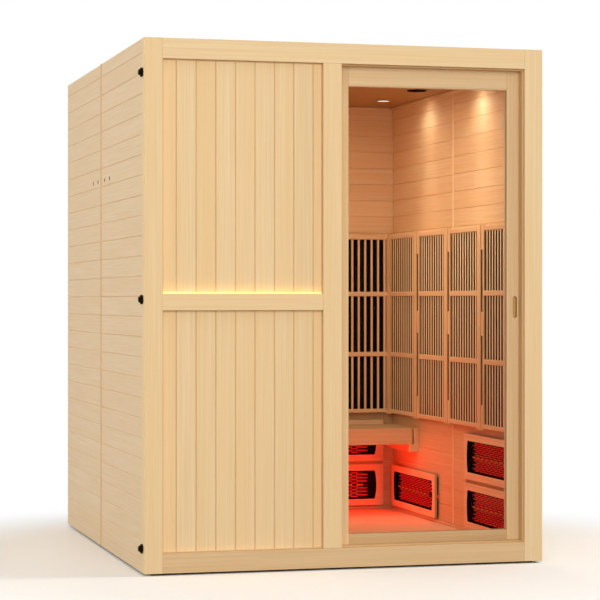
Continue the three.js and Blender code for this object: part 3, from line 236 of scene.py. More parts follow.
# Speaker cloth: black and without any gloss
CLOTH = speckled("black_speaker_cloth", "#060504", "#0c0a08", 1.5, 0.9, 0.1, Specular_IOR_Level=0.0)
# Matt carbon heating board: black, almost without gloss
CARBON = speckled("carbon_heating_board", "#13110f", "#181513", 2.5, 0.8, 0.02, Specular_IOR_Level=0.0)
# Slats: the face drawn pale as painted light, the cheek browner as painted shade
SLAT_LIGHT = planed_wood("slat_face_painted_light", "#f8dfb8", "#eecb9a", "#f0cb96", "Z", 0.55)
CHEEK_SHADE = planed_wood("hemlock_cheek_painted_shade", "#c9a26c", "#b28b58", "#b98f5a", "Z", 0.65)
# Slots in the posts: drawn near black as painted shade of the slots' deep cheeks
SLOT_SHADE = planed_wood("slot_painted_shade", "#40220f", "#2c1508", "#361b0b", "Z", 0.8)
# Base timber in the shadow gap, drawn near black as painted shadow
BASE_SHADE = planed_wood("base_painted_shadow", "#241a11", "#150e08", "#1c130b", "X", 0.85)
# Hole linings: end grain, drawn dark as painted shade inside the holes and hollows
HOLE_SHADE = planed_wood("end_grain_painted_shade", "#7a4c27", "#573318", "#663c1d", "X", 0.7)
# Slat cheeks drawn black-brown as painted shade, so that the gaps between slats read dark
GAP_SHADE = planed_wood("slat_gap_painted_shade", "#2a1a10", "#1c110a", "#22150d", "Z", 0.8)
# Door track: anodised, with fine drawn lines along it and a soft even shine
ALUMINIUM = brushed("anodised_aluminium", "#bfc1c2", "#a9abad", 0.8, "X", 0.34)
# Hangers, lamp rings and screws: zinc plate, greyer and a little dull
STEEL = brushed("zinc_plated_steel", "#a2a5a8", "#878a8e", 0.6, "Z", 0.4)
# Door wheels: moulded nylon, off-white and half matt
NYLON = speckled("moulded_nylon", "#e6e3da", "#d5d2c8", 1.5, 0.5, 0.04, IOR=1.53)
# Power unit and buttons: powder coat with a fine orange-peel grit
GREY = speckled("powder_coated_sheet", "#6f7375", "#5f6365", 1.8, 0.5, 0.06, IOR=1.5)
# Blackened tray behind the red mesh: soot black, with no gloss
TRAY = speckled("blackened_tray", "#120906", "#1c0c08", 3.0, 0.8, 0.02, Specular_IOR_Level=0.0)
# What glows by itself: red mesh bars and the dim ones behind them, pilot lamps, the filament's orange
# specks, the downlights' frosted lenses, and the strip light with its softer upper edge
RED = glowing("red_lit_mesh", "#a00a0a", "#ca1111", 0.26, 9.0)
DIM_RED = glowing("dim_red_mesh", "#1e0101", "#300303", 0.22, 9.0)
PILOT = glowing("red_pilot_lamp", "#c81810", "#f02a1c", 0.6, 4.0)
ORANGE = glowing("orange_filament", "#b8500e", "#d8701c", 0.32, 4.0)
LENS = glowing("frosted_lamp_lens", "#f1ead8", "#fffaf0", 0.9, 6.0)
LED = glowing("warm_strip_diffuser", "#ffe35c", "#fff28c", 1.25, 12.0)
LED_EDGE = glowing("warm_strip_edge", "#f0c27c", "#f6d08c", 0.35, 12.0)


# Meshes

EASE_ANGLE = math.radians(25)
FLAT_ANGLE = math.radians(0.5)
SAME_POINT = 0.005 * MM
# A face looks along an axis if its normal reaches this far along it: nearly square on, or roughly
SQUARE_ON, ROUGHLY = 0.9, 0.5
# How wide the edges of woods, sheets and mouldings are eased, in millimetres
FRONT_EASE, PANEL_EASE, WALL_EASE, BOARD_EASE, INNER_EASE, BENCH_EASE = 0.7, 0.4, 0.5, 0.8, 1.0, 1.5
SHEET_EASE, SMALL_EASE, CASE_EASE, CONTROL_EASE = 0.4, 0.6, 1.5, 2.0


def tone_of(*key):
    """A steady random shade from 0 to 1 for one board."""
    return random.Random(" ".join(map(str, key))).random()


def finish_piece(name, bm, materials, body, replaced=(), smooth=False):
    """Turns a bmesh into a piece that rides on a body and takes a slot's finish."""
    mesh = bpy.data.meshes.new(name)
    for face in bm.faces:
        face.smooth = smooth
    bm.to_mesh(mesh)
    bm.free()
    for material in materials:
        mesh.materials.append(material)
    piece = bpy.data.objects.new(name, mesh)
    bpy.context.scene.collection.objects.link(piece)
    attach(piece, body)
    if replaced:
        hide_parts(*replaced)
    return piece


def ease(bm, width, segments=2):
    """Rounds every sharp edge by a small width, as a sander leaves it."""
    sharp = [e for e in bm.edges if len(e.link_faces) == 2 and e.calc_face_angle(0) > EASE_ANGLE]
    bmesh.ops.bevel(bm, geom=sharp, offset=width, offset_type="OFFSET", segments=segments, profile=0.5,
                    affect="EDGES", clamp_overlap=True, material=-1)


def merged_copy(node):
    """The node's own shape as a bmesh, merged into whole faces."""
    bm = bmesh.new()
    bm.from_mesh(frame["nodes"][node].data)
    bmesh.ops.remove_doubles(bm, verts=bm.verts, dist=SAME_POINT)
    bmesh.ops.dissolve_limit(bm, angle_limit=FLAT_ANGLE, verts=bm.verts, edges=bm.edges)
    return bm


# Front boards drawn deeper and more orange: the third one above is a deeper heartwood board, and the two
# edge boards beside the posts are deepened as painted shade
DEEP_AND_SHADED_BOARDS = {"front_upper_panel": (-1, 1, 7), "front_lower_panel": (-1, 7)}
DEEP_TONE = 1.4


def shade_boards(bm, key, board=None):
    """Gives every face its board's shade. `board` turns a face's middle into a board number."""
    tones = bm.faces.layers.float.new("board_tone")
    for face in bm.faces:
        number = board(face.calc_center_median()) if board else 0
        face[tones] = DEEP_TONE if number in DEEP_AND_SHADED_BOARDS.get(key, ()) else tone_of(key, number)


def dress(node, materials, eased_mm, board=None, pick=None):
    """Replaces a CAD node by the same shape with eased edges, its board shades and its finish."""
    bm = merged_copy(node)
    ease(bm, eased_mm * MM)
    shade_boards(bm, node, board)
    if pick:
        for face in bm.faces:
            face.material_index = pick(face)
    return finish_piece(f"{node}_dressed", bm, materials, BODY_OF[node], [node])


def boards_along(axis, first, pitch):
    """Numbers boards of one face width along an axis."""
    return lambda middle: math.floor((middle[axis] - first) / pitch)


def block(bm, low, high, material=0):
    """Adds a box between two corners and returns its vertices."""
    size = Vector(high) - Vector(low)
    made = bmesh.ops.create_cube(bm, size=1.0)["verts"]
    bmesh.ops.scale(bm, vec=size, verts=made)
    bmesh.ops.translate(bm, vec=(Vector(low) + Vector(high)) / 2, verts=made)
    for face in {f for v in made for f in v.link_faces}:
        face.material_index = material
    return made


def spun(bm, profile, centre, axis, steps):
    """Turns a profile of (radius, height) points about an axis through a centre."""
    turn = Vector((0, 0, 1)).rotation_difference(Vector(axis)).to_matrix()
    points = [bm.verts.new(Vector(centre) + turn @ Vector((r, 0, h))) for r, h in profile]
    edges = [bm.edges.new(pair) for pair in zip(points, points[1:])]
    bmesh.ops.spin(bm, geom=points + edges, cent=centre, axis=axis, angle=2 * math.pi, steps=steps,
                   use_merge=True, use_duplicate=False)
    bmesh.ops.remove_doubles(bm, verts=bm.verts, dist=SAME_POINT)
    bmesh.ops.recalc_face_normals(bm, faces=bm.faces)


# Sizes read from the frame

LEFT_POST_LOW, LEFT_POST_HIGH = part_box("front_left_post")
WALL_LOW, WALL_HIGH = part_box("left_wall_rear")
LINING_LOW, LINING_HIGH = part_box("pocket_lining")
INNER_X = -WALL_HIGH.x
INNER_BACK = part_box("back_wall")[0].y
INNER_FRONT = LINING_HIGH.y
FLOOR_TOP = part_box("floor_panel")[1].z
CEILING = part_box("roof_panel")[0].z

# Width of a board's face, and of the narrower first board of a panel and of a wall
BOARD_FACE = 72 * MM
PANEL_FIRST_BOARD = 53 * MM
WALL_FIRST_BOARD = 44 * MM
PANEL_BOARDS = boards_along(0, LEFT_POST_HIGH.x + PANEL_FIRST_BOARD, BOARD_FACE)
WALL_BOARDS = boards_along(2, WALL_LOW.z + WALL_FIRST_BOARD, BOARD_FACE)


# Front frame, walls, floor and roof

for name in ("front_left_post", "front_right_post"):
    dress(name, [FRONT["Z"]], FRONT_EASE)
# The middle post's face towards the left, the panel's reveal, takes the door's deeper wood as painted shade
dress("front_middle_post", [FRONT["Z"], DOOR["Z"]], FRONT_EASE,
      pick=lambda face: 1 if face.normal.x < -SQUARE_ON else 0)
for name in ("front_top_rail", "front_middle_rail"):
    dress(name, [FRONT["X"]], FRONT_EASE)
# The bottom rail takes the door's deeper wood as painted shade near the floor
dress("front_bottom_rail", [DOOR["X"]], FRONT_EASE)

GROOVE_TILT = 0.2


def panel_part(face):
    """The front's wood on a panel's boards, the door's deeper wood in the grooves between them as painted
    shade.
    """
    tilted = abs(face.normal.x) > GROOVE_TILT and abs(face.normal.z) < ROUGHLY
    return 1 if tilted else 0


for name in ("front_upper_panel", "front_lower_panel"):
    dress(name, [FRONT["Z"], DOOR["Z"]], PANEL_EASE, PANEL_BOARDS, panel_part)

BEAD = 3 * MM
LEFT_BEAD = 5 * MM
BEAD_PROUD = 2 * MM
BEAD_SUNK = 1 * MM
BEAD_EASE = 1 * MM


def panel_shade_bead(node, sides):
    """A slim brown bead in the corner between a front panel and its frame, its brown painted shade in that
    corner.
    """
    low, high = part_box(node)
    y = (low.y - BEAD_PROUD, low.y + BEAD_SUNK)
    bm = bmesh.new()
    if "sides" in sides:
        # The left bead is wider and in the browner trim wood, a deeper painted shade beside the post
        block(bm, (low.x, y[0], low.z), (low.x + LEFT_BEAD, y[1], high.z), 2)
        block(bm, (high.x - BEAD, y[0], low.z), (high.x, y[1], high.z))
    for side, z in (("top", high.z - BEAD), ("bottom", low.z)):
        if side in sides:
            block(bm, (low.x, y[0], z), (high.x, y[1], z + BEAD), 1)
    ease(bm, BEAD_EASE)
    shade_boards(bm, f"{node}_bead")
    finish_piece(f"{node}_bead", bm, [DOOR["Z"], DOOR["X"], SHADED_TRIM["Z"]], "cabin")


panel_shade_bead("front_upper_panel", ("sides", "top"))
panel_shade_bead("front_lower_panel", ("sides", "top", "bottom"))

# The walls' blind holes: their height, their places along the wall, and how big their faces are at most
HOLE_HEIGHT = 1.443
HOLES_Y = (-0.167, -0.058, 0.096, 0.205)
HOLE_REACH = 10 * MM
HOLE_FACE_MOST = 1e-3
STRIP_HALF_WIDTH = 7 * MM
HALF_WALL = 18 * MM
SEAM_Y = WALL_LOW.y


def wall_part(face):
    """Outer boards, inner boards, the seam's cover strip (pale inside, as painted highlight) or a blind
    hole's lining (dark, as painted shade).
    """
    middle = face.calc_center_median()
    outside = abs(middle.x) > INNER_X + HALF_WALL
    if outside and face.calc_area() < HOLE_FACE_MOST:
        for y in HOLES_Y:
            if math.hypot(middle.y - y, middle.z - HOLE_HEIGHT) < HOLE_REACH:
                return 3
    proud = abs(middle.x) > -LEFT_POST_LOW.x or abs(middle.x) < INNER_X
    if proud and abs(middle.y - SEAM_Y) < STRIP_HALF_WIDTH:
        return 2 if outside else 4
    return 0 if outside else 1


WALL_WOODS = [WALL["Y"], INSIDE["Y"], STRIP["Z"], HOLE_SHADE, SLAT_LIGHT]
for side in ("left", "right"):
    for end in ("front", "rear"):
        dress(f"{side}_wall_{end}", WALL_WOODS, WALL_EASE, WALL_BOARDS, wall_part)
dress("back_wall", [WALL["X"], INSIDE["X"]], WALL_EASE, WALL_BOARDS,
      lambda face: 0 if face.calc_center_median().y > INNER_BACK + HALF_WALL else 1)
dress("base_frame", [BASE_SHADE], BOARD_EASE)
dress("floor_panel", [SAPWOOD["X"]], BOARD_EASE)
# The roof's underside takes the ceiling lining's deeper wood as painted shade; its top takes the walls'
# wood
dress("roof_panel", [LINING["X"], WALL["X"]], BOARD_EASE,
      pick=lambda face: 1 if face.normal.z > ROUGHLY else 0)
dress("pocket_lining", [INSIDE["Z"]], WALL_EASE,
      boards_along(0, LINING_LOW.x + PANEL_FIRST_BOARD, BOARD_FACE))
dress("track_cover", [INSIDE["X"]], INNER_EASE)


# Doorway trim and sliding door

# The doorway's head, sill and jamb take the browner trim wood, darkened as painted shade of the opening
dress("doorway_head", [SHADED_TRIM["X"]], BOARD_EASE)
dress("doorway_sill", [SHADED_TRIM["X"]], BOARD_EASE)
dress("doorway_jamb", [SHADED_TRIM["Z"]], BOARD_EASE)
dress("door_left_stile", [DOOR["Z"]], BOARD_EASE)

# The flush pull: its middle across and up, and half its width and height
PULL_X, PULL_Z = 0.660, 0.949
PULL_HALF_X, PULL_HALF_Z = 8.5 * MM, 41.5 * MM
PULL_EASE = 0.5


def in_pull(face):
    """The flush pull's hollow: browner wood on its floor and dark end grain round its rim, both painted
    shade in the hollow.
    """
    middle = face.calc_center_median()
    inside = abs(middle.x - PULL_X) < PULL_HALF_X and abs(middle.z - PULL_Z) < PULL_HALF_Z
    if not inside or face.calc_area() > 4 * PULL_HALF_X * PULL_HALF_Z:
        return 0
    return 1 if face.normal.y < -SQUARE_ON else 2


dress("door_right_stile", [DOOR["Z"], STRIP["Z"], HOLE_SHADE], PULL_EASE, pick=in_pull)
# The door's top rail is drawn paler as painted light, its bottom rail browner as painted shade near the
# floor
dress("door_top_rail", [RAIL_TOP_LIT], BOARD_EASE)
dress("door_bottom_rail", [RAIL_FOOT_SHADED], BOARD_EASE)
dress("door_glass", [GLASS], SMALL_EASE)
dress("door_track", [ALUMINIUM], SHEET_EASE)
for side in ("left", "right"):
    dress(f"door_hanger_{side}", [STEEL], SHEET_EASE)
    dress(f"door_wheel_{side}", [NYLON], SMALL_EASE)
dress("door_floor_guide", [PLASTIC], SMALL_EASE)

LED_LOW, LED_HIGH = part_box("led_strip")
# The share of the strip's height that glows full
LED_LIT = 0.55


def dress_led():
    """The strip's diffuser: its lower part glows full, its upper edge fades towards the panel."""
    bm = merged_copy("led_strip")
    level = LED_LOW.z + LED_LIT * (LED_HIGH.z - LED_LOW.z)
    bmesh.ops.bisect_plane(bm, geom=bm.verts[:] + bm.edges[:] + bm.faces[:], dist=SAME_POINT,
                           plane_co=(0, 0, level), plane_no=(0, 0, 1))
    for face in bm.faces:
        face.material_index = 1 if face.calc_center_median().z > level else 0
    finish_piece("led_strip_dressed", bm, [LED, LED_EDGE], "cabin", ["led_strip"])


dress_led()


# Thumb-screw knobs

KNOB_STUD = 4 * MM
KNOB_STUD_LENGTH = 24 * MM
KNOB_RIM = 1.5 * MM
KNOB_LOBES = 8
KNOB_LOBE_DEPTH = 1.1 * MM
KNOB_LOBES_FROM = 13 * MM


def knob(node):
    """A moulded knob: a lobed flange against the post, a waisted neck and a domed grip."""
    low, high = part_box(node)
    reach = (high.x - low.x) - KNOB_STUD_LENGTH
    seat = (low.x + reach, (low.y + high.y) / 2, (low.z + high.z) / 2)
    radius = (high.z - low.z) / 2
    stud = [(0, -KNOB_STUD_LENGTH), (KNOB_STUD, -KNOB_STUD_LENGTH), (KNOB_STUD, 0)]
    flange = [(radius - KNOB_RIM, 0), (radius, KNOB_RIM), (radius, 5.5 * MM), (radius - KNOB_RIM, 7.5 * MM)]
    neck = [(12 * MM, 9 * MM), (9.6 * MM, 11 * MM), (9.4 * MM, 13 * MM)]
    grip = [(10.6 * MM, reach - 2.5 * MM), (10.4 * MM, reach - 1 * MM), (9 * MM, reach), (0, reach)]
    bm = bmesh.new()
    spun(bm, stud + flange + neck + grip, seat, (-1, 0, 0), steps=64)
    for vert in bm.verts:
        arm = Vector((0, vert.co.y - seat[1], vert.co.z - seat[2]))
        if arm.length > KNOB_LOBES_FROM:
            angle = math.atan2(arm.z, arm.y)
            dip = KNOB_LOBE_DEPTH * (0.5 - 0.5 * math.cos(KNOB_LOBES * angle))
            vert.co -= arm.normalized() * dip
    finish_piece(f"{node}_turned", bm, [PLASTIC], BODY_OF[node], [node], smooth=True)


for height in ("lower", "middle", "upper"):
    knob(f"left_{height}_knob")


# Bench

# The bench's seat and fascia take the browner trim wood, darkened as painted shade
dress("bench_seat", [SHADED_TRIM["X"]], BENCH_EASE)
dress("bench_fascia", [SHADED_TRIM["X"]], BENCH_EASE)
for side in ("left", "right"):
    dress(f"bench_support_{side}", [INSIDE["Y"]], INNER_EASE)


# Slatted guards and carbon panels

SLAT_PITCH = 30 * MM
POST_PROUD = 4 * MM
# How much of a slat's cheek keeps the browner painted shade behind its face, before the black painted shade
# starts
SLAT_FRONT = 2.2 * MM
GUARD_OUTWARD = {"back": -1, "left": 1, "right": -1}
GUARD_EASE = {"back": 1.3 * MM, "left": 0.9 * MM, "right": 0.9 * MM}
# A face counts as a cheek if its normal leans less than this towards the room
CHEEK_LEAN = {"back": 0.95, "left": 0.5, "right": 0.5}
GUARD_END = 6 * MM
RAIL_LEAST = 90 * MM
SLOT_CHEEK_LEAST = 2e-4
ON_POST_SLACK = 0.5 * MM
# Heights of the rails and of the posts' slots
RAIL_BANDS = [(0.466, 0.490), (0.724, 0.744), (0.992, 1.012), (1.2445, 1.2655)]
POST_SLOT_BANDS = [(0.555, 0.846), (0.919, 1.183)]


def guard_face(wall, along):
    """The axis that points out of a guard's wall, which way is out, and where the posts' faces are."""
    low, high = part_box(f"{wall}_guard")
    normal_axis = 1 - along
    outward = GUARD_OUTWARD[wall]
    return normal_axis, outward, low[normal_axis] if outward < 0 else high[normal_axis]


def dress_guard(wall, along):
    """A guard whose slats are drawn pale on the face as painted light on the side walls, and browner on the
    first few millimetres of their cheeks as painted shade. Deeper in, and on the back guard all along, the
    cheeks and the posts' slots are drawn near black as painted shade, so that the gaps read dark from any
    side."""
    node = f"{wall}_guard"
    low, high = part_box(node)
    normal_axis, outward, face = guard_face(wall, along)
    shade_from = POST_PROUD + SLAT_FRONT
    bm = merged_copy(node)
    ease(bm, GUARD_EASE[wall])
    plane = Vector((0, 0, 0))
    plane[normal_axis] = face - outward * shade_from
    normal = Vector((0, 0, 0))
    normal[normal_axis] = 1.0
    bmesh.ops.bisect_plane(bm, geom=bm.verts[:] + bm.edges[:] + bm.faces[:], dist=SAME_POINT,
                           plane_co=plane, plane_no=normal)
    shade_boards(bm, node, boards_along(along, 0, SLAT_PITCH))
    for part in bm.faces:
        middle = part.calc_center_median()
        spots = [v.co[along] for v in part.verts]
        heights = [v.co.z for v in part.verts]
        depth = (face - middle[normal_axis]) * outward
        deep = depth > shade_from
        on_post = depth < POST_PROUD - ON_POST_SLACK
        between_ends = low.z + GUARD_END < middle.z < high.z - GUARD_END
        cheek = between_ends and abs(part.normal[normal_axis]) < CHEEK_LEAN[wall]
        in_rail = any(foot < middle.z < top for foot, top in RAIL_BANDS)
        in_slot = any(foot < min(heights) and max(heights) < top for foot, top in POST_SLOT_BANDS)
        part.material_index = 1 if in_rail and max(spots) - min(spots) > RAIL_LEAST else 0
        if cheek and in_slot and part.calc_area() > SLOT_CHEEK_LEAST:
            part.material_index = 3
        elif cheek:
            part.material_index = 2 if deep or wall == "back" else 5
        elif not in_rail and not on_post:
            part.material_index = 4
    lit_slat = INSIDE["Z"] if wall == "back" else SLAT_LIGHT
    woods = [INSIDE["Z"], INSIDE[AXES[along]], GAP_SHADE, SLOT_SHADE, lit_slat, CHEEK_SHADE]
    finish_piece(f"{node}_dressed", bm, woods, "cabin", [node])


# Rounded trim on the guards: rails and the cap over them, by their heights, and the posts' stiles
RAILS = [(0.473, 0.490), (0.724, 0.744), (0.992, 1.012)]
RAIL_PROUD = 5 * MM
RAIL_ROUND = 4 * MM
CAP = (1.2445, 1.2680)
CAP_DEPTH = 14 * MM
CAP_ROUND = 6 * MM
STILE_FROM, STILE_TO = 30 * MM, 67.5 * MM
STILE_PROUD = 4 * MM
STILE_OVERHANG = 2 * MM
# A stile's face that looks to the front as far as this is drawn browner, as painted shade
STILE_EDGE = 0.8
# A post or a field of slats is wider than the first. Corners nearer together than the second are one post's
FULL_POST = 75 * MM
POST_APART = 100 * MM
ON_FACE = 0.1 * MM
SUNK = 1 * MM


def posts_of(node, normal_axis, face, along):
    """Where a guard's posts start and end along its wall."""
    marks = sorted(v.co[along] for v in frame["nodes"][node].data.vertices
                   if abs(v.co[normal_axis] - face) < ON_FACE)
    posts = []
    for mark in marks:
        if posts and mark - posts[-1][1] < POST_APART:
            posts[-1][1] = mark
        else:
            posts.append([mark, mark])
    return posts


def guard_trim(wall, along):
    """Rounded rails between the posts, and on the side walls a rounded stile on each slotted post, its face
    towards the front drawn browner as painted shade.
    """
    node = f"{wall}_guard"
    low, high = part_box(node)
    normal_axis, outward, face = guard_face(wall, along)
    posts = posts_of(node, normal_axis, face, along)
    woods = [INSIDE["Z"], INSIDE[AXES[along]], CHEEK_SHADE]

    def bar_on(bm, span, off, z, material):
        """A bar along the wall, by its span, its distance from the posts' faces and its height."""
        ends = sorted(face + outward * d for d in off)
        corners = [Vector((0, 0, z[0])), Vector((0, 0, z[1]))]
        for corner, a, d in zip(corners, span, ends):
            corner[along], corner[normal_axis] = a, d
        block(bm, *corners, material)

    trim, caps = bmesh.new(), bmesh.new()
    starts = [low[along]] + [post[1] for post in posts]
    stops = [post[0] for post in posts] + [high[along]]
    for span in zip(starts, stops):
        if span[1] - span[0] > FULL_POST:
            for z in RAILS:
                bar_on(trim, span, (-POST_PROUD - SUNK, -POST_PROUD + RAIL_PROUD), z, 1)
            bar_on(caps, span, (-POST_PROUD - CAP_DEPTH, -POST_PROUD + RAIL_PROUD), CAP, 1)
    for first, last in posts if wall != "back" else ():
        if last - first > FULL_POST:
            z = (low.z - STILE_OVERHANG, high.z + STILE_OVERHANG)
            bar_on(trim, (first + STILE_FROM, first + STILE_TO), (-SUNK, STILE_PROUD), z, 0)
    for bm, name, rounded in ((trim, "trim", RAIL_ROUND), (caps, "caps", CAP_ROUND)):
        ease(bm, rounded, 4)
        shade_boards(bm, f"{node}_{name}", boards_along(along, 0, FULL_POST))
        for part in bm.faces:
            if part.material_index == 0 and part.normal.y < -STILE_EDGE:
                part.material_index = 2
        finish_piece(f"{node}_{name}", bm, woods, "cabin")


for wall, along in (("back", 0), ("left", 1), ("right", 1)):
    dress_guard(wall, along)
    guard_trim(wall, along)
    dress(f"{wall}_carbon_panel", [CARBON], WALL_EASE)


# Red heaters: the frame boards, black trays and rows of red mesh bars

ROWS = 15
ROW_PITCH = 7.6 * MM
BAR_FIELD = 412 * MM
BRICK_STEP = 51 * MM
LEAST_BRICK = 6 * MM
# Gaps between the bricks of a row, and between rows. The side heaters are mostly seen at a slant, where
# closer bricks and wider lines between the rows still read as a mesh
BACK_GAPS = (21 * MM, 1.4 * MM)
SIDE_GAPS = (15 * MM, 2.5 * MM)
# How far bright bars, the filament and dim bars stand off the emitter's face
BAR_RISE = 1.8 * MM
FILAMENT_RISE = 2.3 * MM
DIM_RISE = 0.9 * MM
FILAMENT_HALF = 1.1 * MM
FINGER = 23 * MM
FINGER_TAPER = 0.7
# Thickness of a bar before it is set on the folded face
BAR_BLANK = 1 * MM
# The emitter's folded face, as heights above its middle and distances from the wall
FOLD = [(-57 * MM, 10 * MM), (-17 * MM, 2.5 * MM), (0, 14.7 * MM), (17 * MM, 2.5 * MM), (57 * MM, 10 * MM)]


def fold_off(height):
    """How far the folded face stands off the wall at a height above its middle."""
    for (z0, off0), (z1, off1) in zip(FOLD, FOLD[1:]):
        if z0 <= height <= z1:
            return off0 + (off1 - off0) * (height - z0) / (z1 - z0)
    return FOLD[0][1]


def on_wall(wall, along, off, z):
    """Low and high corners of a box given along a wall, by its distance from the wall and its height."""
    if wall == "back":
        return (along[0], INNER_BACK - off[1], z[0]), (along[1], INNER_BACK - off[0], z[1])
    return (INNER_X - off[1], along[0], z[0]), (INNER_X - off[0], along[1], z[1])


def bar(bm, wall, span, z_span, centre, rise, material, tip=None):
    """One bar of the mesh, its face parallel to the fold below it and its far end drawn in at a tip."""
    along_axis, off_axis = (0, 1) if wall == "back" else (1, 0)
    made = block(bm, *on_wall(wall, span, (0, BAR_BLANK), z_span), material)
    foot_at = max(v.co[off_axis] for v in made)
    middle = (z_span[0] + z_span[1]) / 2
    for vert in made:
        raised = rise if foot_at - vert.co[off_axis] > BAR_BLANK / 2 else 0.0
        vert.co[off_axis] = foot_at - fold_off(vert.co.z - centre) - raised
        if tip is not None and abs(vert.co[along_axis] - tip) < SAME_POINT:
            vert.co.z = middle + (vert.co.z - middle) * FINGER_TAPER


def mesh_bars(bm, wall, middle, height):
    """One emitter's red mesh: staggered bricks in rows, fingers at the ends of every other row, and an
    orange filament along the ridge."""
    half = BAR_FIELD / 2
    gap, row_gap = BACK_GAPS if wall == "back" else SIDE_GAPS
    for row in range(ROWS):
        from_middle = row - ROWS // 2
        fingered = from_middle % 2 == 0
        z = height + from_middle * ROW_PITCH
        foot, top = z - ROW_PITCH / 2, z + ROW_PITCH / 2
        first = -half - (BRICK_STEP / 2 if fingered else 0)
        for i in range(math.ceil(BAR_FIELD / BRICK_STEP) + 1):
            low = max(first + i * BRICK_STEP, -half)
            high = min(first + (i + 1) * BRICK_STEP - gap, half)
            if high - low < LEAST_BRICK:
                continue
            span = (middle + low, middle + high)
            bar(bm, wall, span, (foot + row_gap, top), height, BAR_RISE, 0)
            if from_middle == 0:
                lit = (height - FILAMENT_HALF, height + FILAMENT_HALF)
                bar(bm, wall, span, lit, height, FILAMENT_RISE, 2)
        bar(bm, wall, (middle - half, middle + half), (foot + row_gap, top), height, DIM_RISE, 1)
        for end in (-1, 1) if fingered else ():
            tip = middle + end * (half + FINGER)
            span = sorted((middle + end * half, tip))
            turned_away = wall == "right" and end > 0
            bar(bm, wall, span, (foot, top), height, DIM_RISE, 1 if turned_away else 0, tip)


# A heater frame's eased face, its outer edge, and the grooves between its boards
FRAME_FACE = 1.6 * MM
FRAME_EDGE = 2 * MM
ROW_GROOVE = (0.240, 0.258)
COLUMN_GROOVE = 64 * MM


def frame_part(wall, low, high):
    """Pale wood on a heater frame's face, browner on its sides and in the grooves between its boards as
    painted shade, and black inside its windows."""
    along_axis, off_axis = (0, 1) if wall == "back" else (1, 0)

    def part(face):
        middle = face.calc_center_median()
        if middle[off_axis] - low[off_axis] < FRAME_FACE:
            return 0
        inside = all(low[axis] + FRAME_EDGE < middle[axis] < high[axis] - FRAME_EDGE
                     for axis in (2, along_axis))
        row_groove = ROW_GROOVE[0] < middle.z < ROW_GROOVE[1]
        column_groove = wall == "back" and abs(middle.x) < COLUMN_GROOVE
        return 1 if inside and not (row_groove or column_groove) else 2
    return part


def mirrored(source, name, materials, body):
    """The same piece on the opposite wall."""
    bm = bmesh.new()
    bm.from_mesh(source.data)
    bmesh.ops.scale(bm, vec=(-1, 1, 1), verts=bm.verts)
    bmesh.ops.reverse_faces(bm, faces=bm.faces)
    return finish_piece(name, bm, materials, body, smooth=source.data.polygons[0].use_smooth)


# The heaters' middles: heights of the two rows, and places along the back wall and the side walls
LOWER_ROW, UPPER_ROW = 0.150, 0.348
BACK_X = 0.363
CORNER_Y, FRONT_Y = 0.502, -0.464
HEATERS = {
    "back": ("back", [(x, z) for x in (-BACK_X, BACK_X) for z in (LOWER_ROW, UPPER_ROW)]),
    "right_corner": ("right", [(CORNER_Y, LOWER_ROW)]),
    "right_front": ("right", [(FRONT_Y, z) for z in (LOWER_ROW, UPPER_ROW)]),
}
MESH = [RED, DIM_RED, ORANGE]
for name, (wall, centres) in HEATERS.items():
    finishes = [SAPWOOD["X" if wall == "back" else "Y"], TRAY, CHEEK_SHADE]
    low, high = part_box(f"{name}_heater_frame")
    board = dress(f"{name}_heater_frame", finishes, INNER_EASE, pick=frame_part(wall, low, high))
    tray = dress(f"{name}_heater_emitter", [TRAY], SHEET_EASE)
    bm = bmesh.new()
    for middle, height in centres:
        mesh_bars(bm, wall, middle, height)
    bars = finish_piece(f"{name}_heater_mesh", bm, MESH, "cabin")
    if wall == "right":
        left = name.replace("right", "left")
        mirrored(board, f"{left}_heater_frame_dressed", finishes, "cabin")
        mirrored(tray, f"{left}_heater_emitter_dressed", [TRAY], "cabin")
        mirrored(bars, f"{left}_heater_mesh", MESH, "cabin")

PILOT_SIZE = Vector((7 * MM, 6 * MM, 9 * MM))
PILOT_EASE = 1.5 * MM
PILOT_SET_IN = 1 * MM


def pilot_lamps():
    """The small red lamp in the gap behind the corner heater's front end, on both walls."""
    front_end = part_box("right_corner_heater_frame")[0].y
    centre = Vector((INNER_X - PILOT_SIZE.x / 2, front_end + PILOT_SET_IN, LOWER_ROW))
    bm = bmesh.new()
    block(bm, centre - PILOT_SIZE / 2, centre + PILOT_SIZE / 2)
    ease(bm, PILOT_EASE, 3)
    piece = finish_piece("right_pilot_lamp", bm, [PILOT], "cabin", smooth=True)
    mirrored(piece, "left_pilot_lamp", [PILOT], "cabin")


pilot_lamps()


# Ceiling fittings, cove trim and skirting

LENS_UP = 1.2 * MM
LENS_STEP = 0.4 * MM
LENS_SLACK = 0.1 * MM
RING_EASE = 1 * MM
CLEAR = 0.3 * MM


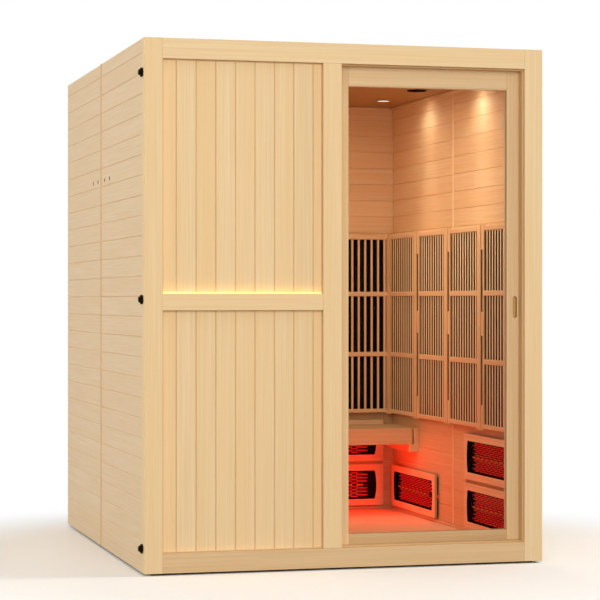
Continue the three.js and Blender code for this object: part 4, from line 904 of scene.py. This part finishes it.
def ceiling_fitting(node, lens):
    """A round fitting under the ceiling: a stepped ring with a lens or a cloth cover, and its can above."""
    low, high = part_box(node)
    centre = ((low.x + high.x) / 2, (low.y + high.y) / 2, CEILING)
    ring = (high.x - low.x) / 2
    inner = ring - (5 * MM if lens else 3 * MM)
    can = ring - (7 * MM if lens else 8 * MM)
    foot, top = low.z - CEILING, high.z - CEILING
    profile = [(0, foot + LENS_UP), (inner, foot + LENS_UP), (inner, foot + LENS_STEP),
               (inner + RING_EASE, foot), (ring - RING_EASE, foot), (ring, foot + RING_EASE),
               (ring, -CLEAR), (can, -CLEAR), (can, top), (0, top)]
    bm = bmesh.new()
    spun(bm, profile, centre, (0, 0, 1), steps=48)
    for face in bm.faces:
        middle = face.calc_center_median() - Vector(centre)
        in_lens = math.hypot(middle.x, middle.y) < inner - LENS_SLACK and middle.z < 0
        face.material_index = 1 if in_lens else 0
    materials = [STEEL, LENS] if lens else [PLASTIC, CLOTH]
    piece = finish_piece(f"{node}_turned", bm, materials, BODY_OF[node], [node])
    mirrored(piece, f"left_{node}_turned", materials, "cabin")


ceiling_fitting("downlight_rear", True)
ceiling_fitting("downlight_front", True)
ceiling_fitting("speaker", False)

COVE = 13 * MM
COVE_EASE = 3 * MM
SKIRTING_HEIGHT, SKIRTING_DEPTH = 12 * MM, 8 * MM
SKIRTING_EASE = 2 * MM


def wall_bars(name, z, depth, eased):
    """Three bars round the inside, against the side walls and the back wall."""
    x = INNER_X - CLEAR
    y = (INNER_FRONT + CLEAR, INNER_BACK - CLEAR)
    bm = bmesh.new()
    block(bm, (-x, y[0], z[0]), (-x + depth, y[1], z[1]))
    block(bm, (x - depth, y[0], z[0]), (x, y[1], z[1]))
    block(bm, (-x + depth, y[1] - depth, z[0]), (x - depth, y[1], z[1]), 1)
    ease(bm, eased)
    shade_boards(bm, name)
    finish_piece(name, bm, [INSIDE["Y"], INSIDE["X"]], "cabin")


COVE_TOP = CEILING - CLEAR
SKIRTING_FOOT = FLOOR_TOP + CLEAR
wall_bars("ceiling_cove", (COVE_TOP - COVE, COVE_TOP), COVE, COVE_EASE)
wall_bars("skirting", (SKIRTING_FOOT, SKIRTING_FOOT + SKIRTING_HEIGHT), SKIRTING_DEPTH, SKIRTING_EASE)


# Power unit on the roof and control panel inside

LOUVRES = 12
LOUVRE_PITCH, LOUVRE_WIDTH, LOUVRE_RISE = 20 * MM, 8 * MM, 0.8 * MM
LOUVRE_FROM_SIDE, LOUVRE_FROM_END = 70 * MM, 60 * MM
LOUVRE_EASE = 0.3 * MM
SCREW_FROM_SIDE, SCREW_FROM_END = 11 * MM, 40 * MM
FLANGE_TOP = 3.2 * MM
SCREW_HEAD = [(0, 2.4 * MM), (3 * MM, 2.2 * MM), (4.2 * MM, 1.2 * MM), (4.4 * MM, 0), (0, 0)]
DISPLAY_HALF = 45 * MM
DISPLAY_FROM_TOP = (55 * MM, 20 * MM)
DISPLAY_RISE = 0.6 * MM
DISPLAY_EASE = 0.2 * MM
BUTTONS = 5
BUTTON_PITCH = 30 * MM
BUTTON_UP = 28 * MM
BUTTON_HEAD = [(0, 1.6 * MM), (5 * MM, 1.4 * MM), (6.5 * MM, 0.6 * MM), (6.5 * MM, 0), (0, 0)]


def power_unit():
    """The grey box on the roof, with black louvres on its lid and a screw at each corner of its flange."""
    low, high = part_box("power_unit")
    dress("power_unit", [GREY], CASE_EASE)
    bm = bmesh.new()
    for i in range(LOUVRES):
        x = low.x + LOUVRE_FROM_SIDE + i * LOUVRE_PITCH
        block(bm, (x, low.y + LOUVRE_FROM_END, high.z),
              (x + LOUVRE_WIDTH, high.y - LOUVRE_FROM_END, high.z + LOUVRE_RISE))
    ease(bm, LOUVRE_EASE, 1)
    finish_piece("power_unit_louvres", bm, [PLASTIC], "cabin")
    bm = bmesh.new()
    for x in (low.x + SCREW_FROM_SIDE, high.x - SCREW_FROM_SIDE):
        for y in (low.y + SCREW_FROM_END, high.y - SCREW_FROM_END):
            spun(bm, SCREW_HEAD, (x, y, low.z + FLANGE_TOP), (0, 0, 1), steps=20)
    finish_piece("power_unit_screws", bm, [STEEL], "cabin", smooth=True)


def control_panel():
    """The black panel inside, with a dark display and a row of round buttons."""
    low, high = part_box("control_panel")
    dress("control_panel", [PLASTIC], CONTROL_EASE)
    bm = bmesh.new()
    middle_x = (low.x + high.x) / 2
    block(bm, (middle_x - DISPLAY_HALF, high.y, high.z - DISPLAY_FROM_TOP[0]),
          (middle_x + DISPLAY_HALF, high.y + DISPLAY_RISE, high.z - DISPLAY_FROM_TOP[1]))
    ease(bm, DISPLAY_EASE, 1)
    finish_piece("control_display", bm, [CARBON], "cabin")
    bm = bmesh.new()
    for i in range(BUTTONS):
        x = middle_x + (i - BUTTONS // 2) * BUTTON_PITCH
        spun(bm, BUTTON_HEAD, (x, high.y, low.z + BUTTON_UP), (0, 1, 0), steps=28)
    finish_piece("control_buttons", bm, [GREY], "cabin", smooth=True)


power_unit()
control_panel()


# Floor, background, lights and camera

# The floor is pale near the cabin and fades to white between two distances from a point under its front
FLOOR_SEEN, FLOOR_BOUNCE = "#fffbf5", "#5c4f40"
FLOOR_HALF = 20.0
FADE_CENTRE = (-0.05, -0.4, 0.0)
FADE_FROM, FADE_TO = 1.15, 2.1
WORLD_STRENGTH = 0.44


def seen_by_eye(tree):
    """1 for rays that end in the picture: straight, mirrored or through glass."""
    path = add(tree, "ShaderNodeLightPath").outputs
    seen = add(tree, "ShaderNodeMath", {0: path["Is Camera Ray"], 1: path["Is Glossy Ray"]},
               operation="MAXIMUM")
    through = add(tree, "ShaderNodeMath", {0: seen.outputs[0], 1: path["Is Transmission Ray"]},
                  operation="MAXIMUM")
    return through.outputs[0]


def floor_stage():
    """A pale floor that keeps the shadow near the cabin and fades to white further out. Its bounce is
    dimmer than its look, so that the cabin stays darker near the ground."""
    material, tree, shader = start("pale_studio_floor", Roughness=0.9, Specular_IOR_Level=0.1)
    place = add(tree, "ShaderNodeTexCoord").outputs["Object"]
    seen = seen_by_eye(tree)
    shown = add(tree, "ShaderNodeMix", {0: seen, 6: linear(FLOOR_BOUNCE), 7: linear(FLOOR_SEEN)},
                data_type="RGBA")
    tree.links.new(shown.outputs[2], shader.inputs["Base Color"])
    distance = add(tree, "ShaderNodeVectorMath", {0: place, 1: FADE_CENTRE}, operation="DISTANCE")
    far = add(tree, "ShaderNodeMapRange",
              {"Value": distance.outputs["Value"], "From Min": FADE_FROM, "From Max": FADE_TO},
              interpolation_type="SMOOTHSTEP")
    share = add(tree, "ShaderNodeMath", {0: far.outputs[0], 1: seen}, operation="MULTIPLY")
    white = add(tree, "ShaderNodeEmission", {"Color": (1, 1, 1, 1), "Strength": 1.0})
    mixed = add(tree, "ShaderNodeMixShader",
                {0: share.outputs[0], 1: shader.outputs[0], 2: white.outputs[0]})
    tree.links.new(mixed.outputs[0], tree.nodes["Material Output"].inputs["Surface"])
    bm = bmesh.new()
    bmesh.ops.create_grid(bm, x_segments=1, y_segments=1, size=FLOOR_HALF)
    mesh = bpy.data.meshes.new("studio_floor")
    bm.to_mesh(mesh)
    bm.free()
    mesh.materials.append(material)
    floor = bpy.data.objects.new("studio_floor", mesh)
    bpy.context.scene.collection.objects.link(floor)


def world_light():
    """An even white studio all round: plain white to the eye, dimmer as a light."""
    world = bpy.data.worlds.new("studio")
    bpy.context.scene.world = world
    world.use_nodes = True
    tree = world.node_tree
    level = add(tree, "ShaderNodeMapRange",
                {"Value": seen_by_eye(tree), "To Min": WORLD_STRENGTH, "To Max": 1.0})
    background = tree.nodes["Background"]
    background.inputs["Color"].default_value = (1, 1, 1, 1)
    tree.links.new(level.outputs[0], background.inputs["Strength"])


def lamp(name, kind, colour, watts, place, towards, **settings):
    """A lamp that lights the scene and is not seen itself."""
    light = bpy.data.lights.new(name, kind)
    light.color = linear(colour)[:3]
    light.energy = watts
    for key, value in settings.items():
        setattr(light, key, value)
    made = bpy.data.objects.new(name, light)
    made.location = place
    made.rotation_euler = (Vector(towards) - Vector(place)).to_track_quat("-Z", "Y").to_euler()
    made.visible_camera = False
    made.visible_glossy = False
    made.visible_transmission = False
    bpy.context.scene.collection.objects.link(made)


def area_lamp(name, colour, watts, place, towards, wide, high, spread=180):
    """A rectangular lamp, with its spread in degrees."""
    lamp(name, "AREA", colour, watts, place, towards, shape="RECTANGLE", size=wide, size_y=high,
         spread=math.radians(spread))


def spot_lamp(name, colour, watts, place, towards, cone, soft):
    """A soft-edged spot, with its full cone in degrees and the radius of its source."""
    lamp(name, "SPOT", colour, watts, place, towards, spot_size=math.radians(cone), spot_blend=1.0,
         shadow_soft_size=soft)


floor_stage()
world_light()

# The studio: where each lamp stands, what it points at, and how wide and high it is
SOFT_WHITE, KEY_WHITE, SIDE_WHITE = "#fffdfa", "#fffcf8", "#fffaf4"
area_lamp("key_right", KEY_WHITE, 242, (6.2, -1.7, 3.9), (0, -0.2, 0.5), 2.0, 2.0)
area_lamp("side_left", SIDE_WHITE, 202, (-7.0, 0.0, 1.7), (0, 0.0, 1.2), 3.5, 1.8)
area_lamp("front_soft", SOFT_WHITE, 300, (-2.0, -8.2, 2.9), (0, -0.9, 0.9), 5.0, 4.0)
area_lamp("back_soft", KEY_WHITE, 9, (0.6, 7.6, 2.2), (0, 0.9, 1.2), 1.6, 1.6, 26)
area_lamp("front_low", SOFT_WHITE, 110, (-0.3, -8.0, 0.8), (0, -0.9, 1.1), 4.0, 1.0)

# The cabin's own light: two ceiling lamps that wash the right wall, warm fill, and red from the heaters
WASH_X, WASH_Z = 0.600, CEILING - 40 * MM
BEAM_X, BEAM_Z = 0.565, CEILING - 20 * MM
# For each lamp's place along the wall, the watts of its wide wash and of its narrow beam
WALL_LAMPS = {0.32: (1.35, 5.6), -0.335: (1.9, 5.0)}
for y, (wash, beam) in WALL_LAMPS.items():
    spot_lamp(f"wall_wash_{y:+.2f}", SOFT_WHITE, wash, (WASH_X, y, WASH_Z), (0.72, y, 1.60), 150, 0.05)
    spot_lamp(f"wall_beam_{y:+.2f}", SOFT_WHITE, beam, (BEAM_X, y, BEAM_Z), (0.70, y, 0.9), 52, 0.03)
area_lamp("cabin_fill", "#ffeedd", 7.0, (0.0, -0.15, CEILING - 30 * MM), (0.0, -0.05, 0.0), 0.9, 1.0)
area_lamp("upper_fill", "#fff6ea", 0.78, (-0.35, -0.55, 1.50), (INNER_X, -0.34, 1.36), 0.4, 0.3, 80)
area_lamp("rear_fill", "#fff3e0", 1.4, (-0.2, -0.3, 1.58), (-0.2, INNER_BACK, 1.54), 0.5, 0.2, 50)
# How far the heaters' red lamps stand off the walls
HEATER_GAP = 40 * MM
SIDE_HEATER_GAP = 45 * MM
area_lamp("back_heater_light", "#ff2a0c", 5.4, (0, INNER_BACK - HEATER_GAP, 0.25), (0, 0, 0.2), 1.0, 0.3)
area_lamp("corner_heater_light", "#ff2208", 1.1, (INNER_X - HEATER_GAP, 0.5, 0.15), (0, 0.45, 0.1),
          0.5, 0.12)
for side in (-1, 1):
    area_lamp(f"side_heater_light_{side:+d}", "#ff3010", 1.7,
              (side * (INNER_X - SIDE_HEATER_GAP), FRONT_Y, 0.25), (0, -0.3, 0.35), 0.5, 0.3)
area_lamp("guard_fill", "#fff0dc", 1.5, (-0.35, -0.2, 1.15), (INNER_X, 0.50, 0.88), 0.5, 0.9, 90)

# The strip's glow: a lamp just in front of the panel above it, which points up and back at the boards
GLOW_X = (LED_LOW.x + LED_HIGH.x) / 2
GLOW_FROM = (GLOW_X, -0.870, LED_HIGH.z + 2 * MM)
GLOW_AT = (GLOW_X, -0.856, LED_HIGH.z + 9 * MM)
area_lamp("strip_glow", "#ffcf6a", 0.022, GLOW_FROM, GLOW_AT, LED_HIGH.x - LED_LOW.x, 6 * MM)

# The camera, solved from the cabin's straight edges in the photograph
SENSOR, LENS_LENGTH = 36.0, 126.356
CAMERA_PLACE = (-2.15233, -8.18759, 0.97538)
CAMERA_TURN = -15.0862
camera_data = bpy.data.cameras.new("camera")
camera_data.sensor_width = SENSOR
camera_data.lens = LENS_LENGTH
camera = bpy.data.objects.new("camera", camera_data)
camera.location = CAMERA_PLACE
camera.rotation_euler = (math.pi / 2, 0, math.radians(CAMERA_TURN))
bpy.context.scene.collection.objects.link(camera)
bpy.context.scene.camera = camera
bpy.context.scene.view_settings.view_transform = "Standard"
